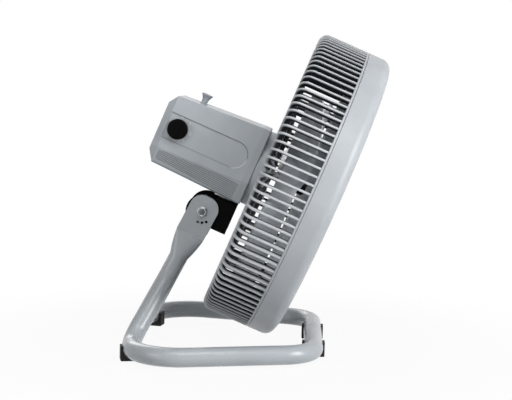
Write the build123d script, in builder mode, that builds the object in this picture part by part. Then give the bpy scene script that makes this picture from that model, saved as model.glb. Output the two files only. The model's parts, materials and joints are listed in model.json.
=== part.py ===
from build123d import *
import os
from math import atan2, cos, degrees, radians, sin, sqrt

# Air circulator fan on a bent-tube floor stand, in millimetres.
# +X is the way the fan blows, +Z is up, -Y is the side with the speed knob.
#
# Three frames are used and brought together at the end:
#   stand frame  X = 0, Y = 0 under the tilt pivot, Z = 0 on the floor
#   head frame   origin on the tilt pivot, with the fan axis level along X
#   fan frame    Z runs forward along the fan axis from the rear grille's back plane

# ---------------------------------------------------------------- sizes
# fits
RUNNING_GAP = 0.08          # radial clearance of a shaft that turns in its hole
SEAT_GAP = 0.25             # slack between a piece and the seat that holds it
MOVING_GAP = 0.3            # clearance between faces that move past each other

# posture
PIVOT_HEIGHT = 240.0        # tilt pivot above the floor
HEAD_TILT = 22.5            # nose-down angle in which the fan is modelled
TILT_STOPS = (22.5, 0.0, -22.5)

# stand
TUBE_R = 15.875
TUBE_WALL = 1.6
FOOT_LIFT = 5.0             # rubber under the tube
TAB_WIDTH = 51.0            # flattened end of the tube
TAB_THICK = 5.0
TAB_LENGTH = 44.0           # flat stretch below the pivot
TAB_END = 28.0              # flat stretch above it
TAB_CORNER_R = 22.0
FLARE_LENGTH = 44.0         # flat to round
UPRIGHT_LEAN = 27.0         # degrees behind vertical
KNEE_RUN = 122.0            # pivot to the bend where the upright turns outward
REAR_BEND_X = -113.0
REAR_BEND_Y = 110.0
REAR_CORNER_X = -87.0
REAR_CORNER_Y = 226.0
FRONT_TUBE_X = 197.0
FRONT_CORNER_Y = 156.0
KNEE_R = 85.0
REAR_BEND_R = 45.0
REAR_CORNER_R = 76.0
FRONT_CORNER_R = 62.0
FOOT_WALL = 3.2
FOOT_LENGTH = 22.0
FOOT_REACH = 4.0            # arms of the foot above the tube's centre
REAR_FOOT_RUN = 38.0        # rear bend to rear foot
FRONT_FOOT_Y = 72.0

# tilt bracket
BRACKET_HALF_WIDTH = 44.0
CHEEK_THICK = 4.0
LUG_R = 29.4
BRACKET_REAR = 14.0
BRACKET_FRONT = 51.0
BRACKET_TOP = 33.7
BRACKET_BOTTOM = -21.5
PIVOT_PLAY = 1.5            # between a cheek and the tube's flattened end
BOLT_R = 4.0
BOLT_FLANGE_R = 9.3
BOLT_FLANGE = 2.0
BOLT_HEAD = 5.2
BOLT_HEX_R = 7.5
NUT_HEIGHT = 6.5
WASHER_R = 12.0
STOP_RADIUS = 19.0          # ring of the click-stop holes
STOP_HOLE_R = 2.5
RIVET_U = 33.0
RIVET_W = 11.6
RIVET_R = 2.0
RIVET_HEAD_R = 4.0
SPRING_THICK = 0.8
SPRING_WIDTH = 7.0

# swivel
SWIVEL_U = 24.0
POST_R = 7.0
POST_FLANGE_R = 11.0
POST_FLANGE = 3.0
SWIVEL_WASHER = 1.0
SWIVEL_WASHER_R = 17.0
SWIVEL_PLATE = 2.4
SWIVEL_PLATE_REAR = 6.0
SWIVEL_PLATE_HALF = 30.0
SWIVEL_RANGE = 30.0         # degrees to each side
CLIP_HEIGHT = 1.5
POST_BOSS_R = 14.0
POST_BOSS_HEIGHT = 12.0
LINK_ARM = 22.0             # link pin from the swivel axis
LINK_PIN_R = 3.0
LINK_THICK = 3.0
LINK_HALF_WIDTH = 5.0
CRANK_ARM = 11.0
CRANK_REST = -103.0         # angle of the crank's pin with the head straight

# motor housing, in the head frame
AXIS_RISE = 104.5           # fan axis above the tilt pivot
HOUSING_REAR = -115.0
HOUSING_FRONT = 41.0
HOUSING_WALL = 3.0
REAR_TOP = 166.0
FRONT_TOP = 175.0
REAR_BOTTOM = 43.0
FRONT_BOTTOM = 37.4
REAR_HALF_WIDTH = 61.0
FRONT_HALF_WIDTH = 69.0
REAR_SHOULDER = 72.0        # height where the side turns into the slanted vent face
FRONT_SHOULDER = 77.0
VENT_SLANT = 0.42           # how far the vent face leans in, per unit of height
TOP_ROUND = 24.0
SHOULDER_ROUND = 12.0
BOTTOM_ROUND = 9.0
COVER_DEPTH = 12.0
COVER_BEVEL = 8.0           # slope of the cover towards its back, on every side
COVER_HEAD = 8.0            # further slope at the top
COVER_FOOT = 12.0           # further slope at the bottom
FLANGE_THICK = 12.0
PANEL_HALF_HEIGHT = 23.0
PANEL_FRONT = 11.0          # centre of the panel's round end
PANEL_DEPTH = 1.2
VENT_COUNT = 9
VENT_PITCH = 3.5
VENT_GROOVE = 1.6
VENT_DEPTH = 1.0
VENT_FALL = -2.3            # degrees by which the grooves fall towards the front
VENT_END_GAP = 4.0          # plain strip at each end of the grooves
VENT_SILL = 9.0             # plain strip under the lowest groove
VENT_HEAD = 3.0             # plain strip over the grooves
PAD_HEIGHT = 6.0
SCREW_POSTS = ((40.0, 78.0), (40.0, 138.0))     # cover screws, across and up
SCREW_POST_LENGTH = 18.0
SCREW_R = 1.75
SCREW_HEAD_R = 3.4
SCREW_HEAD = 2.4
SCREW_SEAT = 3.0            # plastic left under the head
SCREW_LENGTH = 16.0
BACK_SLOT_COUNT = 5
BACK_SLOT_PITCH = 8.0
BACK_SLOT_LENGTH = 56.0
BACK_SLOT_WIDTH = 3.0

# controls
KNOB_U = -94.0
KNOB_W = 114.0
KNOB_R = 17.5
KNOB_HEIGHT = 12.5
KNOB_GAP = 1.4
SPINDLE_R = 3.0
SWITCH_SIZE = 26.0
SWITCH_DEPTH = 18.0
GEAR_U = -76.0              # upright gear shaft and pull knob
PULL_ROD_R = 2.5
PULL_NECK_R = 5.5
PULL_TOP_R = 10.5
PULL_HEIGHT = 16.0
PULL_TRAVEL = 6.0

BUSHING_R = 5.0
SPINDLE_LENGTH = 13.0
KNOB_RIDGE = 2.0
GLAND_U = -88.0
GLAND_Y = 26.0
GLAND_R = 6.0
GLAND_HEIGHT = 6.0
CAPACITOR_U = -84.0
CAPACITOR_LENGTH = 38.0
CAPACITOR_THICK = 14.0
CAPACITOR_HEIGHT = 26.0
CAPACITOR_BOTTOM = 86.0
WHEEL_TEETH = 24
CRANK_THICK = 4.0
WORM_TURNS = 7
WORM_PITCH = 3.4

# motor, about the fan axis
STATOR_SLOTS = 12
SHAFT_R = 5.0
STATOR_R = 46.0
STATOR_REAR = -36.0
STATOR_LENGTH = 40.0
STATOR_BORE_R = 27.5
ROTOR_GAP = 0.5
WINDING_R = 37.5
WINDING_LENGTH = 11.0
BELL_WALL = 3.0
REAR_BELL_LENGTH = 22.0
BEARING_R = 13.0
BEARING_WIDTH = 8.0
TIE_BOLT_RING = 40.3
TIE_BOLT_R = 2.0
WORM_R = 4.5
WORM_LENGTH = 28.0
WHEEL_R = 12.0
WHEEL_HEIGHT = 8.0
GEAR_SHAFT_R = 3.0
GEAR_CASE_WALL = 3.0

# grille drum, in the fan frame
GRILLE_REAR = 63.0          # back plane of the drum in the head frame
DRUM_R = 260.0
DRUM_DEPTH = 88.0           # back plane to the seam
BEZEL_DEPTH = 44.0          # seam to the front
BEZEL_WALL = 3.0
BEZEL_RIM_R = 17.5
DRUM_CORNER_R = 16.0
RIB_COUNT = 114
RIB_THICK = 3.8
RIB_DEPTH = 11.0
FACE_RIB_DEPTH = 7.0
SEAM_FLANGE = 4.0
DISH_BAND = 70.0            # flat rim of the back; inside it the back is dished forward
DISH_DEPTH = 14.0
MID_RING_SHARE = 0.577      # middle ring's radius as a share of the drum's
RING_WIDTH = 6.0
HUB_R = 84.0
HUB_PLATE = 5.0
PAD_R = 68.0
PAD_BORE_R = 32.0
GRILLE_SCREW_RING = 56.0
GRILLE_SCREW_R = 2.5
BEZEL_LIP = 4.0             # flat front of the bezel inside its round edge
GUARD_RIB = 3.0
GUARD_DEPTH = 9.0
GUARD_SET_BACK = 3.0
CAP_R = 48.0
CAP_SEAT = 4.0
CAP_ROUND = 5.0
LOCK_SCREW_R = 2.0
LOCK_SCREW_SETBACK = 12.0

# impeller, in the fan frame
BLADE_COUNT = 3
BLADE_TIP_GAP = 30.0        # between a blade's tip and the drum's outside
BLADE_MIDDLE = 52.0
BLADE_THICK = 2.6
BLADE_CAMBER = 10.0
BLADE_TURN = 30.0
BLADE_CORNER_R = 45.0
ROOT_CHORD = 70.0
ROOT_PITCH = 36.0
MIDDLE_CHORD = 118.0
MIDDLE_PITCH = 23.0
TIP_CHORD = 170.0
TIP_PITCH = 14.0
BLADE_HUB_R = 50.0
BLADE_HUB_LENGTH = 38.0
SPINNER_R = 14.0
SPINNER_LENGTH = 14.0

# ---------------------------------------------------------------- derived places
CHEEK_INNER = BRACKET_HALF_WIDTH - CHEEK_THICK
TAB_INNER = BRACKET_HALF_WIDTH + PIVOT_PLAY
TAB_Y = TAB_INNER + TAB_THICK / 2
TAB_OUTER = TAB_INNER + TAB_THICK
SWIVEL_PLATE_BOTTOM = BRACKET_TOP + SWIVEL_WASHER + MOVING_GAP
SWIVEL_PLATE_TOP = SWIVEL_PLATE_BOTTOM + SWIVEL_PLATE
POST_BOSS_TOP = SWIVEL_PLATE_TOP + POST_BOSS_HEIGHT
GEAR_Y = WHEEL_R + WORM_R + MOVING_GAP
FLANGE_FRONT = HOUSING_FRONT + FLANGE_THICK
TUBE_Z = FOOT_LIFT + TUBE_R
STATOR_FRONT = STATOR_REAR + STATOR_LENGTH
DISH_R = DRUM_R - DISH_BAND
MID_RING_R = DRUM_R * MID_RING_SHARE
GUARD_R = DRUM_R - BEZEL_RIM_R - BEZEL_LIP
BLADE_R = DRUM_R - BLADE_TIP_GAP


def station(u, rear, front):
    """Value at station u of a size that runs straight from the housing's rear to its front."""
    share = (u - HOUSING_REAR) / (HOUSING_FRONT - HOUSING_REAR)
    return rear + (front - rear) * share


# ---------------------------------------------------------------- stand
lean = radians(UPRIGHT_LEAN)
down_upright = Vector(-sin(lean), 0, -cos(lean))
across_upright = Vector(cos(lean), 0, -sin(lean))
near_pivot = Vector(0, -TAB_Y, PIVOT_HEIGHT)
front_middle = Vector(FRONT_TUBE_X, 0, TUBE_Z)
front_corner = Vector(FRONT_TUBE_X, -FRONT_CORNER_Y, TUBE_Z)
rear_corner = Vector(REAR_CORNER_X, -REAR_CORNER_Y, TUBE_Z)
rear_bend = Vector(REAR_BEND_X, -REAR_BEND_Y, TUBE_Z)
knee = near_pivot + down_upright * KNEE_RUN
round_end = near_pivot + down_upright * (TAB_LENGTH + FLARE_LENGTH)

with BuildPart() as stand_tube:
    with BuildLine() as half_route:
        FilletPolyline(
            front_middle, front_corner, rear_corner, rear_bend, knee, round_end,
            radius=[FRONT_CORNER_R, REAR_CORNER_R, REAR_BEND_R, KNEE_R],
        )
    with BuildSketch(Plane(origin=front_middle, x_dir=(1, 0, 0), z_dir=(0, -1, 0))):
        Circle(TUBE_R)
        Circle(TUBE_R - TUBE_WALL, mode=Mode.SUBTRACT)
    sweep(path=half_route.wire())
    # the flare presses the round tube flat
    for run, half_width, half_thick in (
        (TAB_LENGTH, TAB_WIDTH / 2, TAB_THICK / 2),
        (TAB_LENGTH + 0.55 * FLARE_LENGTH, 0.42 * TAB_WIDTH, 0.62 * TUBE_R),
        (TAB_LENGTH + FLARE_LENGTH, TUBE_R, TUBE_R),
    ):
        with BuildSketch(Plane(origin=near_pivot + down_upright * run, x_dir=across_upright,
                               z_dir=down_upright)):
            Ellipse(half_width, half_thick)
    loft()
    with BuildSketch(Plane(origin=near_pivot, x_dir=across_upright, z_dir=(0, 1, 0))):
        with Locations((0, (TAB_LENGTH + 1 - TAB_END) / 2)):
            tab = Rectangle(TAB_WIDTH, TAB_LENGTH + 1 + TAB_END)
        fillet(tab.vertices().group_by(Axis.Y)[0], radius=TAB_CORNER_R)
        Circle(BOLT_R + SEAT_GAP, mode=Mode.SUBTRACT)
        for stop in TILT_STOPS:
            with PolarLocations(STOP_RADIUS, 1, start_angle=90 + stop - UPRIGHT_LEAN):
                Circle(STOP_HOLE_R, mode=Mode.SUBTRACT)
    extrude(amount=TAB_THICK / 2, both=True)
    mirror(about=Plane.XZ)
stand_tube.part.label = "stand_tube"


def saddle_foot(middle, along):
    """Rubber saddle clipped on the tube from below; `along` is the tube's direction there."""
    channel_r = TUBE_R + SEAT_GAP
    half_width = channel_r + FOOT_WALL
    top = TUBE_Z + FOOT_REACH
    with BuildPart() as foot:
        with BuildSketch(Plane(origin=middle, x_dir=along.cross(Vector(0, 0, 1)), z_dir=-along)):
            with Locations((0, top / 2)):
                Rectangle(2 * half_width, top)
            with Locations((0, TUBE_Z)):
                Circle(channel_r, mode=Mode.SUBTRACT)
        extrude(amount=FOOT_LENGTH / 2, both=True)
        chamfer(foot.faces().sort_by(Axis.Z)[0].edges(), 1.5)
    return foot


rear_run = (rear_corner - rear_bend).normalized()
rear_foot_middle = rear_bend + rear_run * REAR_FOOT_RUN
rear_foot_right = saddle_foot(Vector(rear_foot_middle.X, rear_foot_middle.Y, 0), rear_run)
rear_foot_left = saddle_foot(
    Vector(rear_foot_middle.X, -rear_foot_middle.Y, 0), Vector(rear_run.X, -rear_run.Y, 0))
front_foot_right = saddle_foot(Vector(FRONT_TUBE_X, -FRONT_FOOT_Y, 0), Vector(0, 1, 0))
front_foot_left = saddle_foot(Vector(FRONT_TUBE_X, FRONT_FOOT_Y, 0), Vector(0, 1, 0))
rear_foot_right.part.label = "rear_foot_right"
rear_foot_left.part.label = "rear_foot_left"
front_foot_right.part.label = "front_foot_right"
front_foot_left.part.label = "front_foot_left"


def side_plane(depth, height=PIVOT_HEIGHT):
    """Plane facing out of the near side, `depth` from the middle, with x forward and y up."""
    return Plane(origin=(0, -depth, height), x_dir=(1, 0, 0), z_dir=(0, -1, 0))


with BuildPart() as pivot_bolts:
    with BuildSketch(side_plane(TAB_OUTER)):
        Circle(BOLT_FLANGE_R)
    extrude(amount=BOLT_FLANGE)
    with BuildSketch(side_plane(TAB_OUTER + BOLT_FLANGE)):
        RegularPolygon(BOLT_HEX_R, 6)
    extrude(amount=BOLT_HEAD)
    chamfer(pivot_bolts.faces().sort_by(Axis.Y)[0].edges(), 0.8)
    with BuildSketch(side_plane(TAB_OUTER + BOLT_FLANGE + BOLT_HEAD)):
        RegularPolygon(BOLT_R * 0.75, 6)
    extrude(amount=-BOLT_HEAD * 0.5, mode=Mode.SUBTRACT)
    with BuildSketch(side_plane(TAB_OUTER)):
        Circle(BOLT_R)
    extrude(amount=-(TAB_OUTER - CHEEK_INNER + MOVING_GAP + NUT_HEIGHT + 2))
    mirror(about=Plane.XZ)
pivot_bolts.part.label = "pivot_bolts"

with BuildPart() as pivot_washers:
    with BuildSketch(side_plane(TAB_INNER)):
        Circle(WASHER_R)
        Circle(BOLT_R + SEAT_GAP, mode=Mode.SUBTRACT)
    extrude(amount=-(PIVOT_PLAY - MOVING_GAP))
    mirror(about=Plane.XZ)
pivot_washers.part.label = "pivot_washers"

with BuildPart() as pivot_nuts:
    with BuildSketch(side_plane(CHEEK_INNER - MOVING_GAP)):
        RegularPolygon(BOLT_HEX_R, 6)
        Circle(BOLT_R + SEAT_GAP, mode=Mode.SUBTRACT)
    extrude(amount=-NUT_HEIGHT)
    mirror(about=Plane.XZ)
pivot_nuts.part.label = "pivot_nuts"

# ---------------------------------------------------------------- tilt bracket, head frame
ball_r = (TAB_INNER - MOVING_GAP - CHEEK_INNER) / 2
ball_y = CHEEK_INNER + ball_r
spring_angle = degrees(atan2(RIVET_W + STOP_RADIUS, RIVET_U))
spring_length = sqrt(RIVET_U ** 2 + (RIVET_W + STOP_RADIUS) ** 2)
plate_bottom = BRACKET_TOP - CHEEK_THICK

with BuildPart() as tilt_bracket:
    with BuildSketch(side_plane(BRACKET_HALF_WIDTH, 0)):
        Circle(LUG_R)
        with Locations(((BRACKET_REAR + BRACKET_FRONT) / 2, (BRACKET_TOP + BRACKET_BOTTOM) / 2)):
            Rectangle(BRACKET_FRONT - BRACKET_REAR, BRACKET_TOP - BRACKET_BOTTOM)
        Circle(BOLT_R + RUNNING_GAP, mode=Mode.SUBTRACT)
        with Locations((0, -STOP_RADIUS)):
            Circle(ball_r + SEAT_GAP, mode=Mode.SUBTRACT)
        with Locations((RIVET_U, RIVET_W)):
            Circle(RIVET_R + SEAT_GAP, mode=Mode.SUBTRACT)
    extrude(amount=-CHEEK_THICK)
    mirror(about=Plane.XZ)
    with BuildSketch(Plane.XY.offset(plate_bottom)):
        with Locations(((BRACKET_REAR + BRACKET_FRONT) / 2, 0)):
            Rectangle(BRACKET_FRONT - BRACKET_REAR, 2 * BRACKET_HALF_WIDTH)
        with Locations((SWIVEL_U, 0)):
            Circle(POST_R + SEAT_GAP, mode=Mode.SUBTRACT)
        with Locations((SWIVEL_U, -LINK_ARM)):
            Circle(LINK_PIN_R + SEAT_GAP, mode=Mode.SUBTRACT)
    extrude(amount=CHEEK_THICK)
    fold_edges = tilt_bracket.edges().filter_by(Axis.X).group_by(Axis.Z)[-1]
    fillet(fold_edges, radius=CHEEK_THICK * 0.7)
tilt_bracket.part.label = "tilt_bracket"

with BuildPart() as detent_balls:
    with Locations((0, -ball_y, -STOP_RADIUS), (0, ball_y, -STOP_RADIUS)):
        Sphere(ball_r)
detent_balls.part.label = "detent_balls"

with BuildPart() as detent_springs:
    with BuildSketch(side_plane(CHEEK_INNER, 0)):
        with Locations(Location((RIVET_U / 2, (RIVET_W - STOP_RADIUS) / 2), spring_angle)):
            SlotCenterToCenter(spring_length, SPRING_WIDTH)
        with Locations((RIVET_U, RIVET_W)):
            Circle(RIVET_R + SEAT_GAP, mode=Mode.SUBTRACT)
    extrude(amount=-SPRING_THICK)
    mirror(about=Plane.XZ)
detent_springs.part.label = "detent_springs"

with BuildPart() as bracket_rivets:
    for face, head in ((BRACKET_HALF_WIDTH, 1.2), (CHEEK_INNER - SPRING_THICK, -1.5)):
        with BuildSketch(side_plane(face, 0)):
            with Locations((RIVET_U, RIVET_W)):
                Circle(RIVET_HEAD_R)
        extrude(amount=head)
    with BuildSketch(side_plane(BRACKET_HALF_WIDTH, 0)):
        with Locations((RIVET_U, RIVET_W)):
            Circle(RIVET_R)
    extrude(amount=-(CHEEK_THICK + SPRING_THICK))
    fillet(bracket_rivets.faces().sort_by(Axis.Y)[0].edges(), radius=0.7)
    mirror(about=Plane.XZ)
bracket_rivets.part.label = "bracket_rivets"


def upright_disc(radius, bottom, height, u=SWIVEL_U, y=0.0, mode=Mode.ADD):
    """Round slice about an upright axis at (u, y) of the head frame."""
    with BuildSketch(Plane.XY.offset(bottom)) as disc:
        with Locations((u, y)):
            Circle(radius)
    extrude(disc.sketch, amount=height, mode=mode)


clip_bottom = POST_BOSS_TOP + MOVING_GAP
post_top = clip_bottom + 2 * CLIP_HEIGHT
with BuildPart() as neck_post:
    upright_disc(POST_FLANGE_R, plate_bottom - POST_FLANGE, POST_FLANGE)
    upright_disc(POST_R, plate_bottom, post_top - plate_bottom)
    upright_disc(POST_R - 3, plate_bottom - POST_FLANGE, 100, mode=Mode.SUBTRACT)
neck_post.part.label = "neck_post"

with BuildPart() as post_clip:
    upright_disc(POST_FLANGE_R, clip_bottom, CLIP_HEIGHT)
    upright_disc(POST_R + SEAT_GAP, clip_bottom, CLIP_HEIGHT, mode=Mode.SUBTRACT)
post_clip.part.label = "post_clip"

with BuildPart() as swivel_washer:
    upright_disc(SWIVEL_WASHER_R, BRACKET_TOP, SWIVEL_WASHER)
    upright_disc(POST_R + SEAT_GAP, BRACKET_TOP, SWIVEL_WASHER, mode=Mode.SUBTRACT)
swivel_washer.part.label = "swivel_washer"

link_bottom = post_top + MOVING_GAP
with BuildPart() as link_pin:
    upright_disc(LINK_PIN_R + 2, plate_bottom - 2, 2, y=-LINK_ARM)
    upright_disc(LINK_PIN_R, plate_bottom, link_bottom + LINK_THICK - plate_bottom, y=-LINK_ARM)
link_pin.part.label = "link_pin"

# ---------------------------------------------------------------- motor housing, head frame


def housing_section(u, inset=0.0, head=0.0, foot=0.0):
    """Sketch of the housing's section at u, drawn in all round and further at top and bottom."""
    top = station(u, REAR_TOP, FRONT_TOP) - inset - head
    bottom = station(u, REAR_BOTTOM, FRONT_BOTTOM) + inset + foot
    half = station(u, REAR_HALF_WIDTH, FRONT_HALF_WIDTH) - inset
    shoulder = station(u, REAR_SHOULDER, FRONT_SHOULDER)
    floor_half = half - VENT_SLANT * (shoulder - bottom)
    with BuildSketch(Plane(origin=(u, 0, 0), x_dir=(0, 1, 0), z_dir=(1, 0, 0))) as section:
        Polygon(
            (half, top), (-half, top), (-half, shoulder), (-floor_half, bottom),
            (floor_half, bottom), (half, shoulder), align=None,
        )
        corners = section.vertices().sort_by(Axis.Y)
        for pair, radius in zip((corners[:2], corners[2:4], corners[4:]),
                                (BOTTOM_ROUND, SHOULDER_ROUND, TOP_ROUND)):
            fillet(pair, radius=max(radius - inset, 1.0))
    return section


def housing_block(stations):
    """Solid through housing sections, each given as (u, inset, head, foot)."""
    with BuildPart() as block:
        add([housing_section(*place).sketch for place in stations])
        loft(ruled=True)
    return block.part


def panel_plane(side):
    """Plane on the housing's flat side; side is -1 on the knob's side and +1 across."""
    u = PANEL_FRONT
    slope = atan2(FRONT_HALF_WIDTH - REAR_HALF_WIDTH, HOUSING_FRONT - HOUSING_REAR)
    half = station(u, REAR_HALF_WIDTH, FRONT_HALF_WIDTH)
    return Plane(
        origin=(u, side * half, KNOB_W),
        x_dir=(cos(slope), side * sin(slope), 0),
        z_dir=(-sin(slope), side * cos(slope), 0),
    )


def vent_plane(side):
    """Plane on the slanted vent face, x along its bottom edge and z out of the face."""
    places = []
    for u in (HOUSING_REAR, HOUSING_FRONT):
        shoulder = station(u, REAR_SHOULDER, FRONT_SHOULDER)
        bottom = station(u, REAR_BOTTOM, FRONT_BOTTOM)
        half = station(u, REAR_HALF_WIDTH, FRONT_HALF_WIDTH)
        places.append(Vector(u, side * (half - VENT_SLANT * (shoulder - bottom)), bottom))
        places.append(Vector(u, side * half, shoulder))
    along = (places[2] - places[0]).normalized()
    upward = (places[1] - places[0]).normalized()
    outward = along.cross(upward) * -side
    return Plane(origin=(places[0] + places[2]) / 2, x_dir=along, z_dir=outward)


housing_outside = housing_block([(HOUSING_REAR, 0), (HOUSING_FRONT, 0)])
housing_inside = housing_block([(HOUSING_REAR, HOUSING_WALL), (HOUSING_FRONT, HOUSING_WALL)])
knob_side = station(KNOB_U, REAR_HALF_WIDTH, FRONT_HALF_WIDTH)
pull_seat = station(GEAR_U + PULL_TOP_R, REAR_TOP, FRONT_TOP) + 0.6
grooves_height = (VENT_COUNT - 1) * VENT_PITCH
vent_reach = (HOUSING_FRONT - HOUSING_REAR) / 2 - VENT_END_GAP
rear_slant = (REAR_SHOULDER - REAR_BOTTOM) * sqrt(1 + VENT_SLANT ** 2)
front_slant = (FRONT_SHOULDER - FRONT_BOTTOM) * sqrt(1 + VENT_SLANT ** 2)
gland_floor = station(GLAND_U + GLAND_R + 3, REAR_BOTTOM, FRONT_BOTTOM)

with BuildLine() as link_sweep:
    CenterArc((SWIVEL_U, 0), LINK_ARM, -92 - SWIVEL_RANGE, 4 + 2 * SWIVEL_RANGE)

with BuildPart() as motor_housing:
    add(housing_outside)
    add(housing_inside, mode=Mode.SUBTRACT)
    # posts for the cover's screws
    for post_y, post_w in SCREW_POSTS:
        for side in (-1, 1):
            with BuildSketch(Plane(origin=(HOUSING_REAR, 0, 0), x_dir=(0, 1, 0), z_dir=(1, 0, 0))):
                with Locations((side * (post_y + 10), post_w)):
                    SlotOverall(34, 9)
            extrude(amount=SCREW_POST_LENGTH)
    add(housing_outside, mode=Mode.INTERSECT)
    for post_y, post_w in SCREW_POSTS:
        for side in (-1, 1):
            with BuildSketch(Plane(origin=(HOUSING_REAR, 0, 0), x_dir=(0, 1, 0), z_dir=(1, 0, 0))):
                with Locations((side * post_y, post_w)):
                    Circle(SCREW_R + SEAT_GAP)
            extrude(amount=SCREW_POST_LENGTH, mode=Mode.SUBTRACT)
    # pad and boss of the swivel
    with BuildSketch(Plane.XY.offset(SWIVEL_PLATE_TOP)):
        with Locations(((SWIVEL_PLATE_REAR + HOUSING_FRONT) / 2, 0)):
            Rectangle(HOUSING_FRONT - SWIVEL_PLATE_REAR, 2 * SWIVEL_PLATE_HALF)
    extrude(amount=PAD_HEIGHT)
    upright_disc(POST_BOSS_R, SWIVEL_PLATE_TOP, POST_BOSS_HEIGHT)
    upright_disc(POST_R + RUNNING_GAP, SWIVEL_PLATE_TOP - 5, POST_BOSS_HEIGHT + 10,
                 mode=Mode.SUBTRACT)
    # slot that the link pin sweeps as the head swings
    with BuildSketch(Plane.XY.offset(SWIVEL_PLATE_TOP - 5)):
        SlotArc(link_sweep.edge(), 2 * LINK_PIN_R + 2)
    extrude(amount=POST_BOSS_HEIGHT, mode=Mode.SUBTRACT)
    # collar and hole of the pull rod, spindle hole, cord hole
    upright_disc(PULL_NECK_R + 2, pull_seat - 4, 4, u=GEAR_U, y=GEAR_Y)
    upright_disc(PULL_ROD_R + RUNNING_GAP, pull_seat - 12, 13, u=GEAR_U, y=GEAR_Y,
                 mode=Mode.SUBTRACT)
    with BuildSketch(Plane(origin=(KNOB_U, -knob_side - 1, KNOB_W), z_dir=(0, 1, 0))):
        Circle(BUSHING_R + SEAT_GAP)
    extrude(amount=HOUSING_WALL + 3, mode=Mode.SUBTRACT)
    upright_disc(GLAND_R + SEAT_GAP, gland_floor - 4, 12, u=GLAND_U, y=GLAND_Y, mode=Mode.SUBTRACT)
    for side in (-1, 1):
        # inset panel with a round front end
        with BuildSketch(panel_plane(side)):
            Circle(PANEL_HALF_HEIGHT)
            with Locations(((HOUSING_REAR - PANEL_FRONT) / 2, 0)):
                Rectangle(PANEL_FRONT - HOUSING_REAR, 2 * PANEL_HALF_HEIGHT)
        extrude(amount=-PANEL_DEPTH, mode=Mode.SUBTRACT)
        # fan of fine grooves on the slanted face, cut off along its upper edge
        with BuildSketch(vent_plane(side)):
            with Locations(Location((0, -side * (VENT_SILL + grooves_height / 2)),
                                    -side * VENT_FALL)):
                with GridLocations(1, VENT_PITCH, 1, VENT_COUNT):
                    Rectangle(2 * vent_reach, VENT_GROOVE)
            Polygon(
                (-vent_reach, 0), (vent_reach, 0), (vent_reach, -side * (front_slant - VENT_HEAD)),
                (-vent_reach, -side * (rear_slant - VENT_HEAD)), align=None, mode=Mode.INTERSECT,
            )
        extrude(amount=-VENT_DEPTH, mode=Mode.SUBTRACT)
motor_housing.part.label = "motor_housing"

cover_back = HOUSING_REAR - COVER_DEPTH
with BuildPart() as rear_cover:
    add(housing_block([(HOUSING_REAR, 0), (cover_back, COVER_BEVEL, COVER_HEAD, COVER_FOOT)]))
    add(housing_block([(HOUSING_REAR, HOUSING_WALL), (cover_back + HOUSING_WALL,
                       COVER_BEVEL + HOUSING_WALL, COVER_HEAD, COVER_FOOT)]),
        mode=Mode.SUBTRACT)
    # screw wells
    for post_y, post_w in SCREW_POSTS:
        with BuildSketch(Plane(origin=(HOUSING_REAR, 0, 0), x_dir=(0, 1, 0), z_dir=(1, 0, 0))):
            with Locations((-post_y, post_w), (post_y, post_w)):
                Circle(SCREW_HEAD_R + SEAT_GAP + 1.5)
        extrude(amount=-(COVER_DEPTH - 1))
        with BuildSketch(Plane(origin=(cover_back, 0, 0), x_dir=(0, 1, 0), z_dir=(1, 0, 0))):
            with Locations((-post_y, post_w), (post_y, post_w)):
                Circle(SCREW_HEAD_R + SEAT_GAP)
        extrude(amount=COVER_DEPTH - SCREW_SEAT, mode=Mode.SUBTRACT)
        with BuildSketch(Plane(origin=(cover_back, 0, 0), x_dir=(0, 1, 0), z_dir=(1, 0, 0))):
            with Locations((-post_y, post_w), (post_y, post_w)):
                Circle(SCREW_R + SEAT_GAP)
        extrude(amount=COVER_DEPTH, mode=Mode.SUBTRACT)
    # row of air slots across the back
    with BuildSketch(Plane(origin=(cover_back, 0, AXIS_RISE), x_dir=(0, 1, 0), z_dir=(1, 0, 0))):
        with GridLocations(1, BACK_SLOT_PITCH, 1, BACK_SLOT_COUNT):
            SlotOverall(BACK_SLOT_LENGTH, BACK_SLOT_WIDTH)
    extrude(amount=HOUSING_WALL, mode=Mode.SUBTRACT)
rear_cover.part.label = "rear_cover"

with BuildPart() as cover_screws:
    for post_y, post_w in SCREW_POSTS:
        with BuildSketch(Plane(origin=(HOUSING_REAR - SCREW_SEAT, 0, 0), x_dir=(0, 1, 0),
                               z_dir=(-1, 0, 0))):
            with Locations((-post_y, -post_w), (post_y, -post_w)):
                Circle(SCREW_HEAD_R)
        extrude(amount=SCREW_HEAD)
        with BuildSketch(Plane(origin=(HOUSING_REAR - SCREW_SEAT, 0, 0), x_dir=(0, 1, 0),
                               z_dir=(-1, 0, 0))):
            with Locations((-post_y, -post_w), (post_y, -post_w)):
                Circle(SCREW_R)
        extrude(amount=-SCREW_LENGTH)
cover_screws.part.label = "cover_screws"

with BuildPart() as swivel_plate:
    with BuildSketch(Plane.XY.offset(SWIVEL_PLATE_BOTTOM)):
        with Locations(((SWIVEL_PLATE_REAR + HOUSING_FRONT) / 2, 0)):
            RectangleRounded(HOUSING_FRONT - SWIVEL_PLATE_REAR, 2 * SWIVEL_PLATE_HALF, 5)
        with Locations((SWIVEL_U, 0)):
            Circle(POST_R + SEAT_GAP, mode=Mode.SUBTRACT)
        SlotArc(link_sweep.edge(), 2 * LINK_PIN_R + 2, mode=Mode.SUBTRACT)
    extrude(amount=SWIVEL_PLATE)
swivel_plate.part.label = "swivel_plate"

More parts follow.
